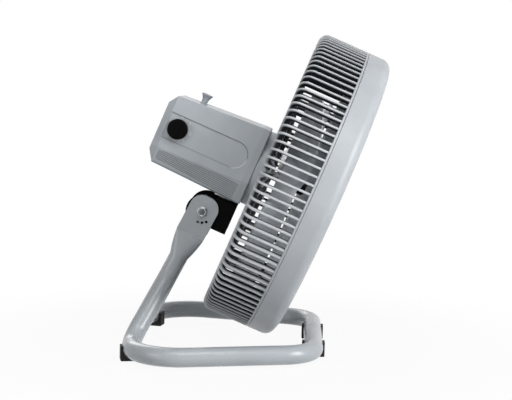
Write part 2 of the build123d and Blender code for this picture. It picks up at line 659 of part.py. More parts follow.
# ---------------------------------------------------------------- controls, head frame
with BuildPart() as speed_switch:
    with BuildSketch(Plane(origin=(KNOB_U, -knob_side + HOUSING_WALL + 1.5, KNOB_W),
                           x_dir=(1, 0, 0), z_dir=(0, 1, 0))):
        Rectangle(SWITCH_SIZE, SWITCH_SIZE)
    extrude(amount=SWITCH_DEPTH)
    chamfer(speed_switch.faces().sort_by(Axis.Y)[-1].edges(), 2)
    with BuildSketch(Plane(origin=(KNOB_U, -knob_side + PANEL_DEPTH + 1, KNOB_W), z_dir=(0, 1, 0))):
        Circle(BUSHING_R)
    extrude(amount=HOUSING_WALL)
    with BuildSketch(Plane(origin=(KNOB_U, -knob_side, KNOB_W), z_dir=(0, 1, 0))):
        Circle(SPINDLE_R + RUNNING_GAP)
    extrude(amount=SPINDLE_LENGTH + 2, mode=Mode.SUBTRACT)
speed_switch.part.label = "speed_switch"

with BuildPart() as speed_knob:
    with BuildSketch(side_plane(knob_side + KNOB_GAP - PANEL_DEPTH, KNOB_W)):
        with Locations((KNOB_U, 0)):
            Circle(KNOB_R)
    extrude(amount=KNOB_HEIGHT)
    fillet(speed_knob.faces().sort_by(Axis.Y)[0].edges(), radius=2.5)
    # pointer ridge across the face
    with BuildSketch(side_plane(knob_side + KNOB_GAP - PANEL_DEPTH + KNOB_HEIGHT, KNOB_W)):
        with Locations((KNOB_U, 0)):
            SlotOverall(2 * KNOB_R - 7, 6, rotation=90)
    extrude(amount=KNOB_RIDGE)
    with BuildSketch(side_plane(knob_side + KNOB_GAP - PANEL_DEPTH, KNOB_W)):
        with Locations((KNOB_U, 0)):
            Circle(SPINDLE_R)
    extrude(amount=-SPINDLE_LENGTH)
speed_knob.part.label = "speed_knob"

pull_bottom = pull_seat + MOVING_GAP
wheel_shaft_top = AXIS_RISE + WHEEL_HEIGHT / 2 + 3
rod_foot = wheel_shaft_top + MOVING_GAP
with BuildPart() as oscillation_knob:
    with BuildSketch(Plane(origin=(GEAR_U, GEAR_Y, 0), x_dir=(1, 0, 0), z_dir=(0, -1, 0))):
        with BuildLine():
            rod = Polyline(
                (PULL_NECK_R, pull_bottom), (PULL_ROD_R, pull_bottom), (PULL_ROD_R, rod_foot),
                (0, rod_foot), (0, pull_bottom + PULL_HEIGHT),
                (PULL_TOP_R - 1, pull_bottom + PULL_HEIGHT),
                (PULL_TOP_R, pull_bottom + PULL_HEIGHT - 1),
            )
            Spline(
                rod @ 1, (PULL_NECK_R + 0.6, pull_bottom + PULL_HEIGHT * 0.4), rod @ 0,
                tangents=[(-0.5, -1), (0, -1)],
            )
        make_face()
    revolve(axis=Axis((GEAR_U, GEAR_Y, 0), (0, 0, 1)))
oscillation_knob.part.label = "oscillation_knob"

with BuildPart() as cord_gland:
    upright_disc(GLAND_R + 3, gland_floor - GLAND_HEIGHT, GLAND_HEIGHT, u=GLAND_U, y=GLAND_Y)
    upright_disc(GLAND_R, gland_floor, HOUSING_WALL + 3, u=GLAND_U, y=GLAND_Y)
    upright_disc(GLAND_R - 2.5, gland_floor - GLAND_HEIGHT, 30, u=GLAND_U, y=GLAND_Y,
                 mode=Mode.SUBTRACT)
cord_gland.part.label = "cord_gland"

with BuildPart() as capacitor:
    with BuildSketch(Plane.XY.offset(CAPACITOR_BOTTOM)):
        with Locations((CAPACITOR_U, station(CAPACITOR_U - CAPACITOR_LENGTH / 2, REAR_HALF_WIDTH,
                                             FRONT_HALF_WIDTH) - HOUSING_WALL - MOVING_GAP
                        - CAPACITOR_THICK / 2)):
            RectangleRounded(CAPACITOR_LENGTH, CAPACITOR_THICK, 3)
    extrude(amount=CAPACITOR_HEIGHT)
capacitor.part.label = "capacitor"

# ---------------------------------------------------------------- oscillation drive, head frame
case_front = STATOR_REAR - REAR_BELL_LENGTH
worm_rear = case_front - GEAR_CASE_WALL - 2 - WORM_LENGTH
case_rear = worm_rear - 1 - GEAR_CASE_WALL
case_bottom = AXIS_RISE - WHEEL_HEIGHT / 2 - GEAR_CASE_WALL - 8
case_top = wheel_shaft_top + PULL_TRAVEL + 2 + GEAR_CASE_WALL
case_near = -(WORM_R + GEAR_CASE_WALL + 3)
case_far = GEAR_Y + WHEEL_R + GEAR_CASE_WALL + 1
with BuildPart() as gearbox_case:
    with BuildSketch(Plane.XY.offset(case_bottom)):
        with Locations(((case_rear + case_front) / 2, (case_near + case_far) / 2)):
            RectangleRounded(case_front - case_rear, case_far - case_near, 4)
    extrude(amount=case_top - case_bottom)
    with BuildSketch(Plane.XY.offset(case_bottom + GEAR_CASE_WALL)):
        with Locations(((case_rear + case_front) / 2, (case_near + case_far) / 2)):
            Rectangle(case_front - case_rear - 2 * GEAR_CASE_WALL,
                      case_far - case_near - 2 * GEAR_CASE_WALL)
    extrude(amount=case_top - case_bottom - 2 * GEAR_CASE_WALL, mode=Mode.SUBTRACT)
    upright_disc(GEAR_SHAFT_R + RUNNING_GAP, case_bottom - 1, GEAR_CASE_WALL + 2,
                 u=GEAR_U, y=GEAR_Y, mode=Mode.SUBTRACT)
    upright_disc(PULL_ROD_R + SEAT_GAP, case_top - GEAR_CASE_WALL - 1, GEAR_CASE_WALL + 2,
                 u=GEAR_U, y=GEAR_Y, mode=Mode.SUBTRACT)
    with BuildSketch(Plane(origin=(case_front + 1, 0, AXIS_RISE), z_dir=(-1, 0, 0))):
        Circle(SHAFT_R + SEAT_GAP)
    extrude(amount=GEAR_CASE_WALL + 2, mode=Mode.SUBTRACT)
gearbox_case.part.label = "gearbox_case"

crank_bottom = link_bottom + LINK_THICK
crank_pin = Vector(
    GEAR_U + CRANK_ARM * cos(radians(CRANK_REST)), GEAR_Y + CRANK_ARM * sin(radians(CRANK_REST)), 0)
with BuildPart() as worm_wheel:
    upright_disc(WHEEL_R, AXIS_RISE - WHEEL_HEIGHT / 2, WHEEL_HEIGHT, u=GEAR_U, y=GEAR_Y)
    with BuildSketch(Plane.XY.offset(AXIS_RISE - WHEEL_HEIGHT / 2)):
        with Locations((GEAR_U, GEAR_Y)):
            with PolarLocations(WHEEL_R, WHEEL_TEETH):
                Rectangle(2.4, 1.2)
    extrude(amount=WHEEL_HEIGHT, mode=Mode.SUBTRACT)
    upright_disc(GEAR_SHAFT_R, crank_bottom + CRANK_THICK, wheel_shaft_top - crank_bottom
                 - CRANK_THICK, u=GEAR_U, y=GEAR_Y)
worm_wheel.part.label = "worm_wheel"

with BuildPart() as crank_disc:
    upright_disc(CRANK_ARM + LINK_PIN_R + 2, crank_bottom, CRANK_THICK, u=GEAR_U, y=GEAR_Y)
    upright_disc(LINK_PIN_R + 1.5, crank_bottom + CRANK_THICK, 1, u=crank_pin.X, y=crank_pin.Y)
    fillet(crank_disc.faces().sort_by(Axis.Z)[0].edges(), radius=0.8)
crank_disc.part.label = "crank_disc"

fixed_pin = Vector(SWIVEL_U, -LINK_ARM, 0)
link_vector = fixed_pin - crank_pin
link_middle = (fixed_pin + crank_pin) / 2
link_angle = degrees(atan2(link_vector.Y, link_vector.X))
with BuildPart() as drive_link:
    with BuildSketch(Plane.XY.offset(link_bottom)):
        with Locations(Location((link_middle.X, link_middle.Y), link_angle)):
            SlotCenterToCenter(link_vector.length, 2 * LINK_HALF_WIDTH)
        with Locations((fixed_pin.X, fixed_pin.Y)):
            Circle(LINK_PIN_R + RUNNING_GAP, mode=Mode.SUBTRACT)
        with Locations((crank_pin.X, crank_pin.Y)):
            Circle(LINK_PIN_R, mode=Mode.SUBTRACT)
    extrude(amount=LINK_THICK - MOVING_GAP)
drive_link.part.label = "drive_link"

# ---------------------------------------------------------------- motor, fan frame
# In this frame z is the distance ahead of the grille's back plane.
stator_back = STATOR_REAR - GRILLE_REAR
stator_face = STATOR_FRONT - GRILLE_REAR
mount_face = HOUSING_FRONT - GRILLE_REAR
bell_back = stator_back - REAR_BELL_LENGTH


def ring(outer, inner, start, end, mode=Mode.ADD):
    """Ring about the fan axis from z = start to z = end."""
    with BuildSketch(Plane.XY.offset(start)) as face:
        Circle(outer)
        if inner > 0:
            Circle(inner, mode=Mode.SUBTRACT)
    extrude(face.sketch, amount=end - start, mode=mode)


def ring_of_holes(radius, hole_r, count, start, end, turn=0.0, mode=Mode.SUBTRACT):
    """Holes or pins parallel to the fan axis on a ring."""
    with BuildSketch(Plane.XY.offset(start)) as face:
        with PolarLocations(radius, count, start_angle=turn):
            Circle(hole_r)
    extrude(face.sketch, amount=end - start, mode=mode)


with BuildPart() as stator_core:
    ring(STATOR_R, STATOR_BORE_R, stator_back, stator_face)
    with BuildSketch(Plane.XY.offset(stator_back)):
        with PolarLocations(STATOR_BORE_R + 4, STATOR_SLOTS):
            SlotOverall(9, 3.4)
    extrude(amount=STATOR_LENGTH, mode=Mode.SUBTRACT)
    ring_of_holes(TIE_BOLT_RING, TIE_BOLT_R + SEAT_GAP, 4, stator_back, stator_face, 45)
stator_core.part.label = "stator_core"

with BuildPart() as stator_windings:
    for start, end in ((stator_back - WINDING_LENGTH, stator_back),
                       (stator_face, stator_face + WINDING_LENGTH)):
        ring(WINDING_R, STATOR_BORE_R + 1, start, end)
    fillet(stator_windings.faces().sort_by(Axis.Z)[0].edges(), radius=3)
    fillet(stator_windings.faces().sort_by(Axis.Z)[-1].edges(), radius=3)
stator_windings.part.label = "stator_windings"

with BuildPart() as rear_end_bell:
    ring(STATOR_R, 0, bell_back, stator_back)
    ring(STATOR_R - BELL_WALL, 0, bell_back + BELL_WALL, stator_back, Mode.SUBTRACT)
    ring(BEARING_R + BELL_WALL, 0, bell_back, bell_back + BEARING_WIDTH + 1)
    ring(BEARING_R + SEAT_GAP, 0, bell_back + 1, stator_back, Mode.SUBTRACT)
    ring(SHAFT_R + 1, 0, bell_back, stator_back, Mode.SUBTRACT)
    ring_of_holes(TIE_BOLT_RING, TIE_BOLT_R + SEAT_GAP, 4, bell_back, stator_back, 45)
    ring_of_holes(29, 4.5, 8, bell_back, bell_back + BELL_WALL)
rear_end_bell.part.label = "rear_end_bell"

with BuildPart() as front_end_bell:
    ring(STATOR_R, 0, stator_face, mount_face)
    ring(STATOR_R - BELL_WALL, 0, stator_face, mount_face - BELL_WALL, Mode.SUBTRACT)
    ring(BEARING_R + BELL_WALL, 0, mount_face - BEARING_WIDTH - 1, mount_face)
    ring(BEARING_R + SEAT_GAP, 0, stator_face, mount_face - 1, Mode.SUBTRACT)
    ring(SHAFT_R + 1, 0, stator_face, mount_face, Mode.SUBTRACT)
    ring_of_holes(TIE_BOLT_RING, TIE_BOLT_R + SEAT_GAP, 4, stator_face, mount_face, 45)
    ring_of_holes(29, 4.5, 8, mount_face - BELL_WALL, mount_face)
front_end_bell.part.label = "front_end_bell"

bearings = {}
for name, start in (("rear_bearing", bell_back + 1),
                    ("front_bearing", mount_face - 1 - BEARING_WIDTH)):
    with BuildPart() as bearing:
        ring(BEARING_R, SHAFT_R + RUNNING_GAP, start, start + BEARING_WIDTH)
    bearing.part.label = name
    bearings[name] = bearing

with BuildPart() as tie_bolts:
    ring_of_holes(TIE_BOLT_RING, TIE_BOLT_R, 4, bell_back, mount_face + FLANGE_THICK - 2, 45,
                  Mode.ADD)
    ring_of_holes(TIE_BOLT_RING, TIE_BOLT_R * 1.7, 4, bell_back - 3, bell_back, 45, Mode.ADD)
tie_bolts.part.label = "tie_bolts"

hub_back = DISH_DEPTH + FACE_RIB_DEPTH
blade_hub_rear = BLADE_MIDDLE - BLADE_HUB_LENGTH / 2
blade_hub_front = BLADE_MIDDLE + BLADE_HUB_LENGTH / 2
shaft_front = blade_hub_front + SPINNER_LENGTH * 0.6
worm_start = worm_rear - GRILLE_REAR
with BuildPart() as motor_shaft:
    ring(SHAFT_R, 0, worm_start + WORM_LENGTH, shaft_front)
    ring(WORM_R - 1, 0, worm_start, worm_start + WORM_LENGTH)
    # worm, drawn as its rings
    for turn in range(WORM_TURNS):
        start = worm_start + 2 + turn * WORM_PITCH
        ring(WORM_R, 0, start, start + WORM_PITCH / 2)
motor_shaft.part.label = "motor_shaft"

with BuildPart() as rotor_core:
    ring(STATOR_BORE_R - ROTOR_GAP, SHAFT_R + RUNNING_GAP, stator_back, stator_face)
    fillet(rotor_core.edges().filter_by(GeomType.CIRCLE).group_by(SortBy.RADIUS)[-1], radius=1)
rotor_core.part.label = "rotor_core"

# ---------------------------------------------------------------- flange and grilles
with BuildPart() as housing_flange:
    add(housing_section(HOUSING_FRONT, 0).sketch)
    extrude(dir=(1, 0, 0), amount=FLANGE_THICK)
    chamfer(housing_flange.faces().sort_by(Axis.X)[-1].outer_wire().edges(), 1.5)
    fan_axis_plane = Plane(origin=(HOUSING_FRONT, 0, AXIS_RISE), x_dir=(0, 1, 0), z_dir=(1, 0, 0))
    with BuildSketch(fan_axis_plane):
        Circle(SHAFT_R + 4)
        with PolarLocations(TIE_BOLT_RING, 4, start_angle=45):
            Circle(TIE_BOLT_R + SEAT_GAP)
    extrude(amount=FLANGE_THICK, mode=Mode.SUBTRACT)
    with BuildSketch(fan_axis_plane.offset(FLANGE_THICK)):
        with PolarLocations(GRILLE_SCREW_RING, 4, start_angle=45):
            Circle(GRILLE_SCREW_R + SEAT_GAP)
    extrude(amount=-(FLANGE_THICK - 2), mode=Mode.SUBTRACT)
housing_flange.part.label = "housing_flange"

back_of_pad = FLANGE_FRONT - GRILLE_REAR


def rib_blade(inner_r):
    """Flat L of one rib: along the barrel, round the corner and in over the dished back."""
    dish_in = DISH_DEPTH * (DISH_R - inner_r) / (DISH_R - HUB_R)
    inside_r = DRUM_R - RIB_DEPTH
    with BuildPart() as rib:
        with BuildSketch(Plane.XZ):
            with BuildLine():
                Polyline(
                    (inside_r, DRUM_DEPTH - SEAM_FLANGE), (DRUM_R, DRUM_DEPTH - SEAM_FLANGE),
                    (DRUM_R, DRUM_CORNER_R),
                )
                RadiusArc((DRUM_R, DRUM_CORNER_R), (DRUM_R - DRUM_CORNER_R, 0), DRUM_CORNER_R)
                Polyline(
                    (DRUM_R - DRUM_CORNER_R, 0), (DISH_R, 0), (inner_r, dish_in),
                    (inner_r, dish_in + FACE_RIB_DEPTH), (DISH_R, FACE_RIB_DEPTH),
                    (inside_r - 5, FACE_RIB_DEPTH), (inside_r, FACE_RIB_DEPTH + 5),
                    (inside_r, DRUM_DEPTH - SEAM_FLANGE),
                )
            make_face()
        extrude(amount=RIB_THICK / 2, both=True)
    return rib.part


def face_ring(radius, width, depth):
    """Half-buried ring of the dished back at `radius`."""
    dish_in = DISH_DEPTH * max(DISH_R - radius, 0) / (DISH_R - HUB_R)
    ring(radius + width / 2, radius - width / 2, dish_in, dish_in + depth)


long_rib = rib_blade(HUB_R - 2)
short_rib = rib_blade(MID_RING_R)
with BuildPart() as rear_grille:
    ring(DRUM_R, DRUM_R - RIB_DEPTH - 2, DRUM_DEPTH - SEAM_FLANGE, DRUM_DEPTH)
    face_ring(MID_RING_R, RING_WIDTH, FACE_RIB_DEPTH)
    ring(HUB_R, PAD_BORE_R, hub_back - HUB_PLATE, hub_back)
    ring(HUB_R, HUB_R - 4, DISH_DEPTH, hub_back)
    ring(PAD_R, PAD_BORE_R, back_of_pad, hub_back)
    ring_of_holes(GRILLE_SCREW_RING, GRILLE_SCREW_R + SEAT_GAP, 4, back_of_pad, hub_back, 45)
    with PolarLocations(0, RIB_COUNT // 2):
        add(long_rib, clean=False)
    with PolarLocations(0, RIB_COUNT // 2, start_angle=360 / RIB_COUNT):
        add(short_rib, clean=False)
rear_grille.part.label = "rear_grille"

with BuildPart() as grille_screws:
    ring_of_holes(GRILLE_SCREW_RING, GRILLE_SCREW_R, 4, back_of_pad - FLANGE_THICK + 4, hub_back,
                  45, Mode.ADD)
    ring_of_holes(GRILLE_SCREW_RING, GRILLE_SCREW_R * 1.9, 4, hub_back, hub_back + 3, 45,
                  Mode.ADD)
grille_screws.part.label = "grille_screws"

bezel_front = DRUM_DEPTH + BEZEL_DEPTH
guard_front = bezel_front - GUARD_SET_BACK
guard_back = guard_front - GUARD_DEPTH
lock_plane = Plane(origin=(0, -DRUM_R, DRUM_DEPTH + LOCK_SCREW_SETBACK), x_dir=(1, 0, 0),
                   z_dir=(0, -1, 0))


def guard_bar(inner_r):
    """Straight radial bar of the front guard from inner_r out to the bezel."""
    with BuildPart() as bar:
        with BuildSketch(Plane.XY.offset(guard_back)):
            with Locations(((inner_r + GUARD_R + 1) / 2, 0)):
                Rectangle(GUARD_R + 1 - inner_r, GUARD_RIB)
        extrude(amount=GUARD_DEPTH)
    return bar.part


long_guard = guard_bar(CAP_R - 1)
short_guard = guard_bar(MID_RING_R)
with BuildPart() as front_grille:
    with BuildSketch(Plane.XZ):
        with BuildLine():
            Polyline(
                (DRUM_R - BEZEL_WALL, bezel_front - BEZEL_RIM_R),
                (DRUM_R - BEZEL_WALL, DRUM_DEPTH), (DRUM_R, DRUM_DEPTH),
                (DRUM_R, bezel_front - BEZEL_RIM_R),
            )
            RadiusArc((DRUM_R, bezel_front - BEZEL_RIM_R), (DRUM_R - BEZEL_RIM_R, bezel_front),
                      -BEZEL_RIM_R)
            Polyline(
                (DRUM_R - BEZEL_RIM_R, bezel_front), (GUARD_R, bezel_front), (GUARD_R, guard_back),
                (GUARD_R + BEZEL_WALL, guard_back),
                (GUARD_R + BEZEL_WALL, bezel_front - BEZEL_WALL),
                (DRUM_R - BEZEL_RIM_R, bezel_front - BEZEL_WALL),
            )
            RadiusArc((DRUM_R - BEZEL_RIM_R, bezel_front - BEZEL_WALL),
                      (DRUM_R - BEZEL_WALL, bezel_front - BEZEL_RIM_R), BEZEL_RIM_R - BEZEL_WALL)
        make_face()
    revolve(axis=Axis.Z)
    ring(MID_RING_R + RING_WIDTH / 2, MID_RING_R - RING_WIDTH / 2, guard_back, guard_front)
    ring(CAP_R, 0, guard_back, guard_front - CAP_SEAT)
    ring(CAP_R, CAP_R - 3, guard_back, guard_front)
    with BuildSketch(lock_plane):
        Circle(LOCK_SCREW_R + SEAT_GAP)
    extrude(amount=-2 * BEZEL_WALL, mode=Mode.SUBTRACT)
    with PolarLocations(0, RIB_COUNT // 2):
        add(long_guard, clean=False)
    with PolarLocations(0, RIB_COUNT // 2, start_angle=360 / RIB_COUNT):
        add(short_guard, clean=False)
front_grille.part.label = "front_grille"

cap_r = CAP_R - 3 - SEAT_GAP
with BuildPart() as centre_cap:
    ring(cap_r, 0, guard_front - CAP_SEAT, guard_front)
    ring(cap_r, 0, guard_front, bezel_front - 1)
    fillet(centre_cap.faces().sort_by(Axis.Z)[-1].edges(), radius=CAP_ROUND)
centre_cap.part.label = "centre_cap"

with BuildPart() as grille_lock_screw:
    with BuildSketch(lock_plane):
        Circle(LOCK_SCREW_R * 1.9)
    extrude(amount=2.2)
    fillet(grille_lock_screw.faces().sort_by(Axis.Y)[0].edges(), radius=1)
    with BuildSketch(lock_plane):
        Circle(LOCK_SCREW_R)
    extrude(amount=-9)
grille_lock_screw.part.label = "grille_lock_screw"

# ---------------------------------------------------------------- impeller, fan frame
with BuildPart() as blade:
    for radius, chord, pitch in (
        (BLADE_HUB_R - 6, ROOT_CHORD, ROOT_PITCH),
        (BLADE_R * 0.55, MIDDLE_CHORD, MIDDLE_PITCH),
        (BLADE_R + 4, TIP_CHORD, TIP_PITCH),
    ):
        section_plane = Plane(
            origin=(radius, 0, BLADE_MIDDLE), z_dir=(1, 0, 0),
            x_dir=(0, cos(radians(pitch)), sin(radians(pitch))),
        )
        with BuildSketch(section_plane):
            with BuildLine():
                upper = ThreePointArc((-chord / 2, 0), (0, BLADE_CAMBER), (chord / 2, 0))
                lower = ThreePointArc((-chord / 2, -BLADE_THICK), (0, BLADE_CAMBER - BLADE_THICK),
                                      (chord / 2, -BLADE_THICK))
                Line(upper @ 0, lower @ 0)
                Line(upper @ 1, lower @ 1)
            make_face()
    loft()
    # planform with round corners
    with BuildSketch(Plane.XY) as planform:
        Polygon(
            (BLADE_HUB_R - 12, -ROOT_CHORD * 0.40), (BLADE_R + 3, -TIP_CHORD * 0.50),
            (BLADE_R + 3, TIP_CHORD * 0.46), (BLADE_HUB_R - 12, ROOT_CHORD * 0.38), align=None,
        )
        fillet(planform.vertices().sort_by(Axis.X)[-2:], radius=BLADE_CORNER_R)
        Circle(BLADE_R, mode=Mode.INTERSECT)
    extrude(amount=200, mode=Mode.INTERSECT)

with BuildPart() as fan_blade:
    ring(BLADE_HUB_R, 0, blade_hub_rear, blade_hub_front)
    fillet(fan_blade.faces().sort_by(Axis.Z)[-1].edges(), radius=8)
    ring(BLADE_HUB_R - 3, 0, blade_hub_rear, blade_hub_front - 4, Mode.SUBTRACT)
    ring(SPINNER_R, 0, blade_hub_rear + 2, blade_hub_front)
    with PolarLocations(0, BLADE_COUNT, start_angle=BLADE_TURN):
        add(blade.part)
    ring(BLADE_HUB_R - 3, SPINNER_R, blade_hub_rear - 5, blade_hub_front - 4, Mode.SUBTRACT)
    ring(SHAFT_R + RUNNING_GAP, 0, blade_hub_rear - 5, blade_hub_front + 5, Mode.SUBTRACT)
fan_blade.part.label = "fan_blade"

with BuildPart() as blade_nut:
    ring(SPINNER_R, 0, blade_hub_front, blade_hub_front + SPINNER_LENGTH)
    fillet(blade_nut.faces().sort_by(Axis.Z)[-1].edges(), radius=5)
    with BuildSketch(Plane.XY.offset(blade_hub_front)):
        with PolarLocations(SPINNER_R + 0.8, 8):
            Circle(2.4)
    extrude(amount=SPINNER_LENGTH, mode=Mode.SUBTRACT)
    ring(SHAFT_R + RUNNING_GAP, 0, blade_hub_front, shaft_front + 0.5, Mode.SUBTRACT)
blade_nut.part.label = "blade_nut"

# ---------------------------------------------------------------- bring the frames together
head_place = Location((0, 0, PIVOT_HEIGHT), (0, HEAD_TILT, 0))
fan_place = head_place * Plane(origin=(GRILLE_REAR, 0, AXIS_RISE), x_dir=(0, 1, 0),
                               z_dir=(1, 0, 0)).location
stand_pieces = [
    stand_tube, rear_foot_right, rear_foot_left, front_foot_right, front_foot_left,
    pivot_bolts, pivot_washers, pivot_nuts,
]
head_pieces = [
    tilt_bracket, detent_balls, detent_springs, bracket_rivets, neck_post, post_clip,
    swivel_washer, link_pin, motor_housing, rear_cover, cover_screws, swivel_plate,
    speed_switch, speed_knob, oscillation_knob, cord_gland, capacitor, gearbox_case,
    worm_wheel, crank_disc, drive_link, housing_flange,
]
fan_pieces = [
    stator_core, stator_windings, rear_end_bell, front_end_bell, bearings["rear_bearing"],
    bearings["front_bearing"], tie_bolts, motor_shaft, rotor_core, rear_grille, grille_screws,
    front_grille, centre_cap, grille_lock_screw, fan_blade, blade_nut,
]
for place, pieces in ((head_place, head_pieces), (fan_place, fan_pieces)):
    for piece in pieces:
        piece.part.move(place)

# The origin ends under the middle of the whole fan.
rear_most = min(piece.part.bounding_box().min.X for piece in stand_pieces)
front_most = max(piece.part.bounding_box().max.X for piece in fan_pieces)
x_shift = -(rear_most + front_most) / 2
os.makedirs("parts", exist_ok=True)
for piece in stand_pieces + head_pieces + fan_pieces:
    piece.part.move(Location((x_shift, 0, 0)))
    export_step(piece.part, f"parts/{piece.part.label}.step")
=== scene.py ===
import bmesh
import bpy
import json
from math import cos, pi, radians, sin
from mathutils import Matrix, Vector


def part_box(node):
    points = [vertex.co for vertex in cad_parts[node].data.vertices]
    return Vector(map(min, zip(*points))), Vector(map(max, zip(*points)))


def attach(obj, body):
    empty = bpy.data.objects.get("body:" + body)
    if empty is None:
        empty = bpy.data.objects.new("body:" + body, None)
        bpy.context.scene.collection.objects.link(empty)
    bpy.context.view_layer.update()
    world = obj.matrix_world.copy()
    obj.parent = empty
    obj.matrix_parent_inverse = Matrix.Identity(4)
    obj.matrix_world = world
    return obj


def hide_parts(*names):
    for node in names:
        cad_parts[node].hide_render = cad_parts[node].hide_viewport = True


# Air circulator fan on a bent-tube floor stand. Lengths are in metres, +Z is up,
# +X is the way the fan blows and -Y is the side with the speed knob.

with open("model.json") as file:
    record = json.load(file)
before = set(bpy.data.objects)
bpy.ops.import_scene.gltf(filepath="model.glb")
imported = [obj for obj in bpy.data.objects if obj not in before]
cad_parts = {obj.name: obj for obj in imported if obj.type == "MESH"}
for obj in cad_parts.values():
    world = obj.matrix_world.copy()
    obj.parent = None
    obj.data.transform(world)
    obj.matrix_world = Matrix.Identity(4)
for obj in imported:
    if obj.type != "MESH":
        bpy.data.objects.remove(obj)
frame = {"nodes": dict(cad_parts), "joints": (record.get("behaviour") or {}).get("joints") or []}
nodes = frame["nodes"]
joints = {joint["name"]: joint for joint in frame["joints"]}
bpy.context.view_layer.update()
MM = 0.001

# Measures of the fan, as in the solid model but for the depth of the ribs
HEAD_TILT = radians(22.5)
DRUM_R = 260.0 * MM
DRUM_DEPTH = 88.0 * MM
DRUM_CORNER_R = 16.0 * MM
BEZEL_DEPTH = 44.0 * MM
BEZEL_SKIN = 2.4 * MM           # a little thinner than the solid's wall, so it stays inside
BEZEL_RIM_R = 17.5 * MM
BEZEL_RIM_STEPS = 8             # flats in the rim's quarter round
BEZEL_LIP = 4.0 * MM
MOUTH_CHAMFER = 1.0 * MM
ROUND_STEPS = 192               # flats round the bezel and the seam
RIB_COUNT = 114
RIB_THICK = 3.8 * MM
RIB_DEPTH = 8.0 * MM            # as little of their sides shows in the photo
RIB_TUCK = 2.0 * MM             # how far the long ribs run into the hub
EDGE_EASE = 0.36                # of a rib's or bar's thickness
SEAM_DEPTH = 13.0 * MM
SEAM_FLANGE = 4.0 * MM
SEAM_GAP = 0.2 * MM             # from the end of the drum to the bezel
SEAM_CHAMFER = 0.8 * MM         # on the bezel's edge there
DISH_R = DRUM_R - 70.0 * MM
DISH_DEPTH = 14.0 * MM
MID_RING_R = DRUM_R * 0.577
RING_WIDTH = 6.0 * MM
HUB_R = 84.0 * MM
HUB_PLATE = 5.0 * MM
HUB_WALL = 4.0 * MM
HUB_STEP = 1.0 * MM             # the hub's wall and pad end this much behind its plate
PAD_R = 68.0 * MM
PAD_BORE_R = 32.0 * MM
PAD_BACK = -10.0 * MM
GUARD_R = DRUM_R - BEZEL_RIM_R - BEZEL_LIP
GUARD_RIB = 3.0 * MM
GUARD_DEPTH = 9.0 * MM
GUARD_SET_BACK = 3.0 * MM
GUARD_TUCK = 1.0 * MM           # how far the bars run into the bezel and the cup
CAP_R = 48.0 * MM
CAP_SEAT = 4.0 * MM
CUP_BORE_R = 4.0 * MM
CUP_WALL = 3.0 * MM
KNOB_TO_MARK = 22.5 * MM
MARK_SIZE = 7.0 * MM
MARK_PROUD = 0.1 * MM
FIRST_MARK = 92                 # degrees from forward, turning up
MARK_STEP = 45
CAST_FROM = 20.0 * MM           # out from the knob's middle, where the housing is looked for
# The panel's outline is painted: painted shade along its top and foot, a painted highlight round
# its end
PANEL_HALF_HEIGHT = 23.0 * MM
KNOB_TO_PANEL_END = 105.0 * MM  # forward to the middle of the panel's round end
PANEL_END_FADE = 8.0 * MM       # run over which the outline turns light
PANEL_LINE_CORE = 0.4 * MM      # half widths of the line: of its full tone, and in all
PANEL_LINE_EDGE = 1.0 * MM
PANEL_LINE_TURN = 4.0 * MM      # above and below the knob, where its upper tone ends
# The vent grooves get painted shade, darker deeper under the slanted face
# foot of the slanted vent face at the housing's rear end, as (forward, out, up) from the knob
VENT_FOOT = (-21.0 * MM, 48.8 * MM, -71.0 * MM)
VENT_OUT = (-0.0349, 0.9214, -0.387)
VENT_TOP = -43.0 * MM           # up from the knob
VENT_TOP_FADE = 3.0 * MM
VENT_SHADE_STARTS = -0.15 * MM  # out from the slanted face
VENT_SHADE_FULL = -0.7 * MM
BOLT_R = 4.0 * MM
BOLT_HEAD = 7.2 * MM            # flange and head together
# flange, domed rim and the cup that takes the wrench, as (next radius, rise)
BOLT_STEPS = ((9.3 * MM, 0.0), (9.3 * MM, 1.6 * MM), (8.8 * MM, 0.5 * MM), (8.2 * MM, 0.3 * MM),
              (8.0 * MM, 1.9 * MM), (7.3 * MM, 0.7 * MM), (6.6 * MM, 0.2 * MM),
              (6.0 * MM, -0.3 * MM), (5.7 * MM, -2.2 * MM))
BOLT_KEY_R = 5.0 * MM
BOLT_KEY_DEPTH = 2.4 * MM
BOLT_KEY_SUNK = 1.8 * MM        # its top under the bolt's outer end
BOLT_KEY_EASE = 0.7 * MM

# Where painted shade darkens the ribs' flanks: how deep it starts and is full, and how much
# deeper it starts on the ribs at these heights from the hub
SHADE_STARTS = 0.7 * MM
SHADE_FULL = 3.6 * MM
TOP_RIBS, TOP_DEEPER = 170 * MM, -0.9 * MM
MIDDLE_RIBS, LOWER_RIBS, MIDDLE_DEEPER = -30 * MM, -140 * MM, 2.6 * MM
FOOT_RIBS, FOOT_DEEPER = -215 * MM, -0.8 * MM

# Tones of the painted shade and painted highlight lines in the finishes
RIB_SHADE = "#222527"
PANEL_SHADE_ABOVE = "#6E7377"
PANEL_SHADE_BELOW = "#969B9F"
PANEL_HIGHLIGHT_END = "#E8EBED"
VENT_SHADE = "#959A9E"
BLACK_SHEEN = 0.05              # the blacks swallow the light but for this faint sheen

# The camera of the photo and the light in its room
PHOTO_SIZE = (512, 400)
PIVOT_PIXEL = (204.4, 208.8)
PIXELS_PER_METRE = 568.0
CAMERA_DISTANCE = 2.1
CAMERA_TURN = radians(1.8)
CAMERA_RISE = radians(5.5)
CAMERA_ROLL = radians(1.4)
SENSOR_WIDTH = 36               # millimetres, as the lens is given
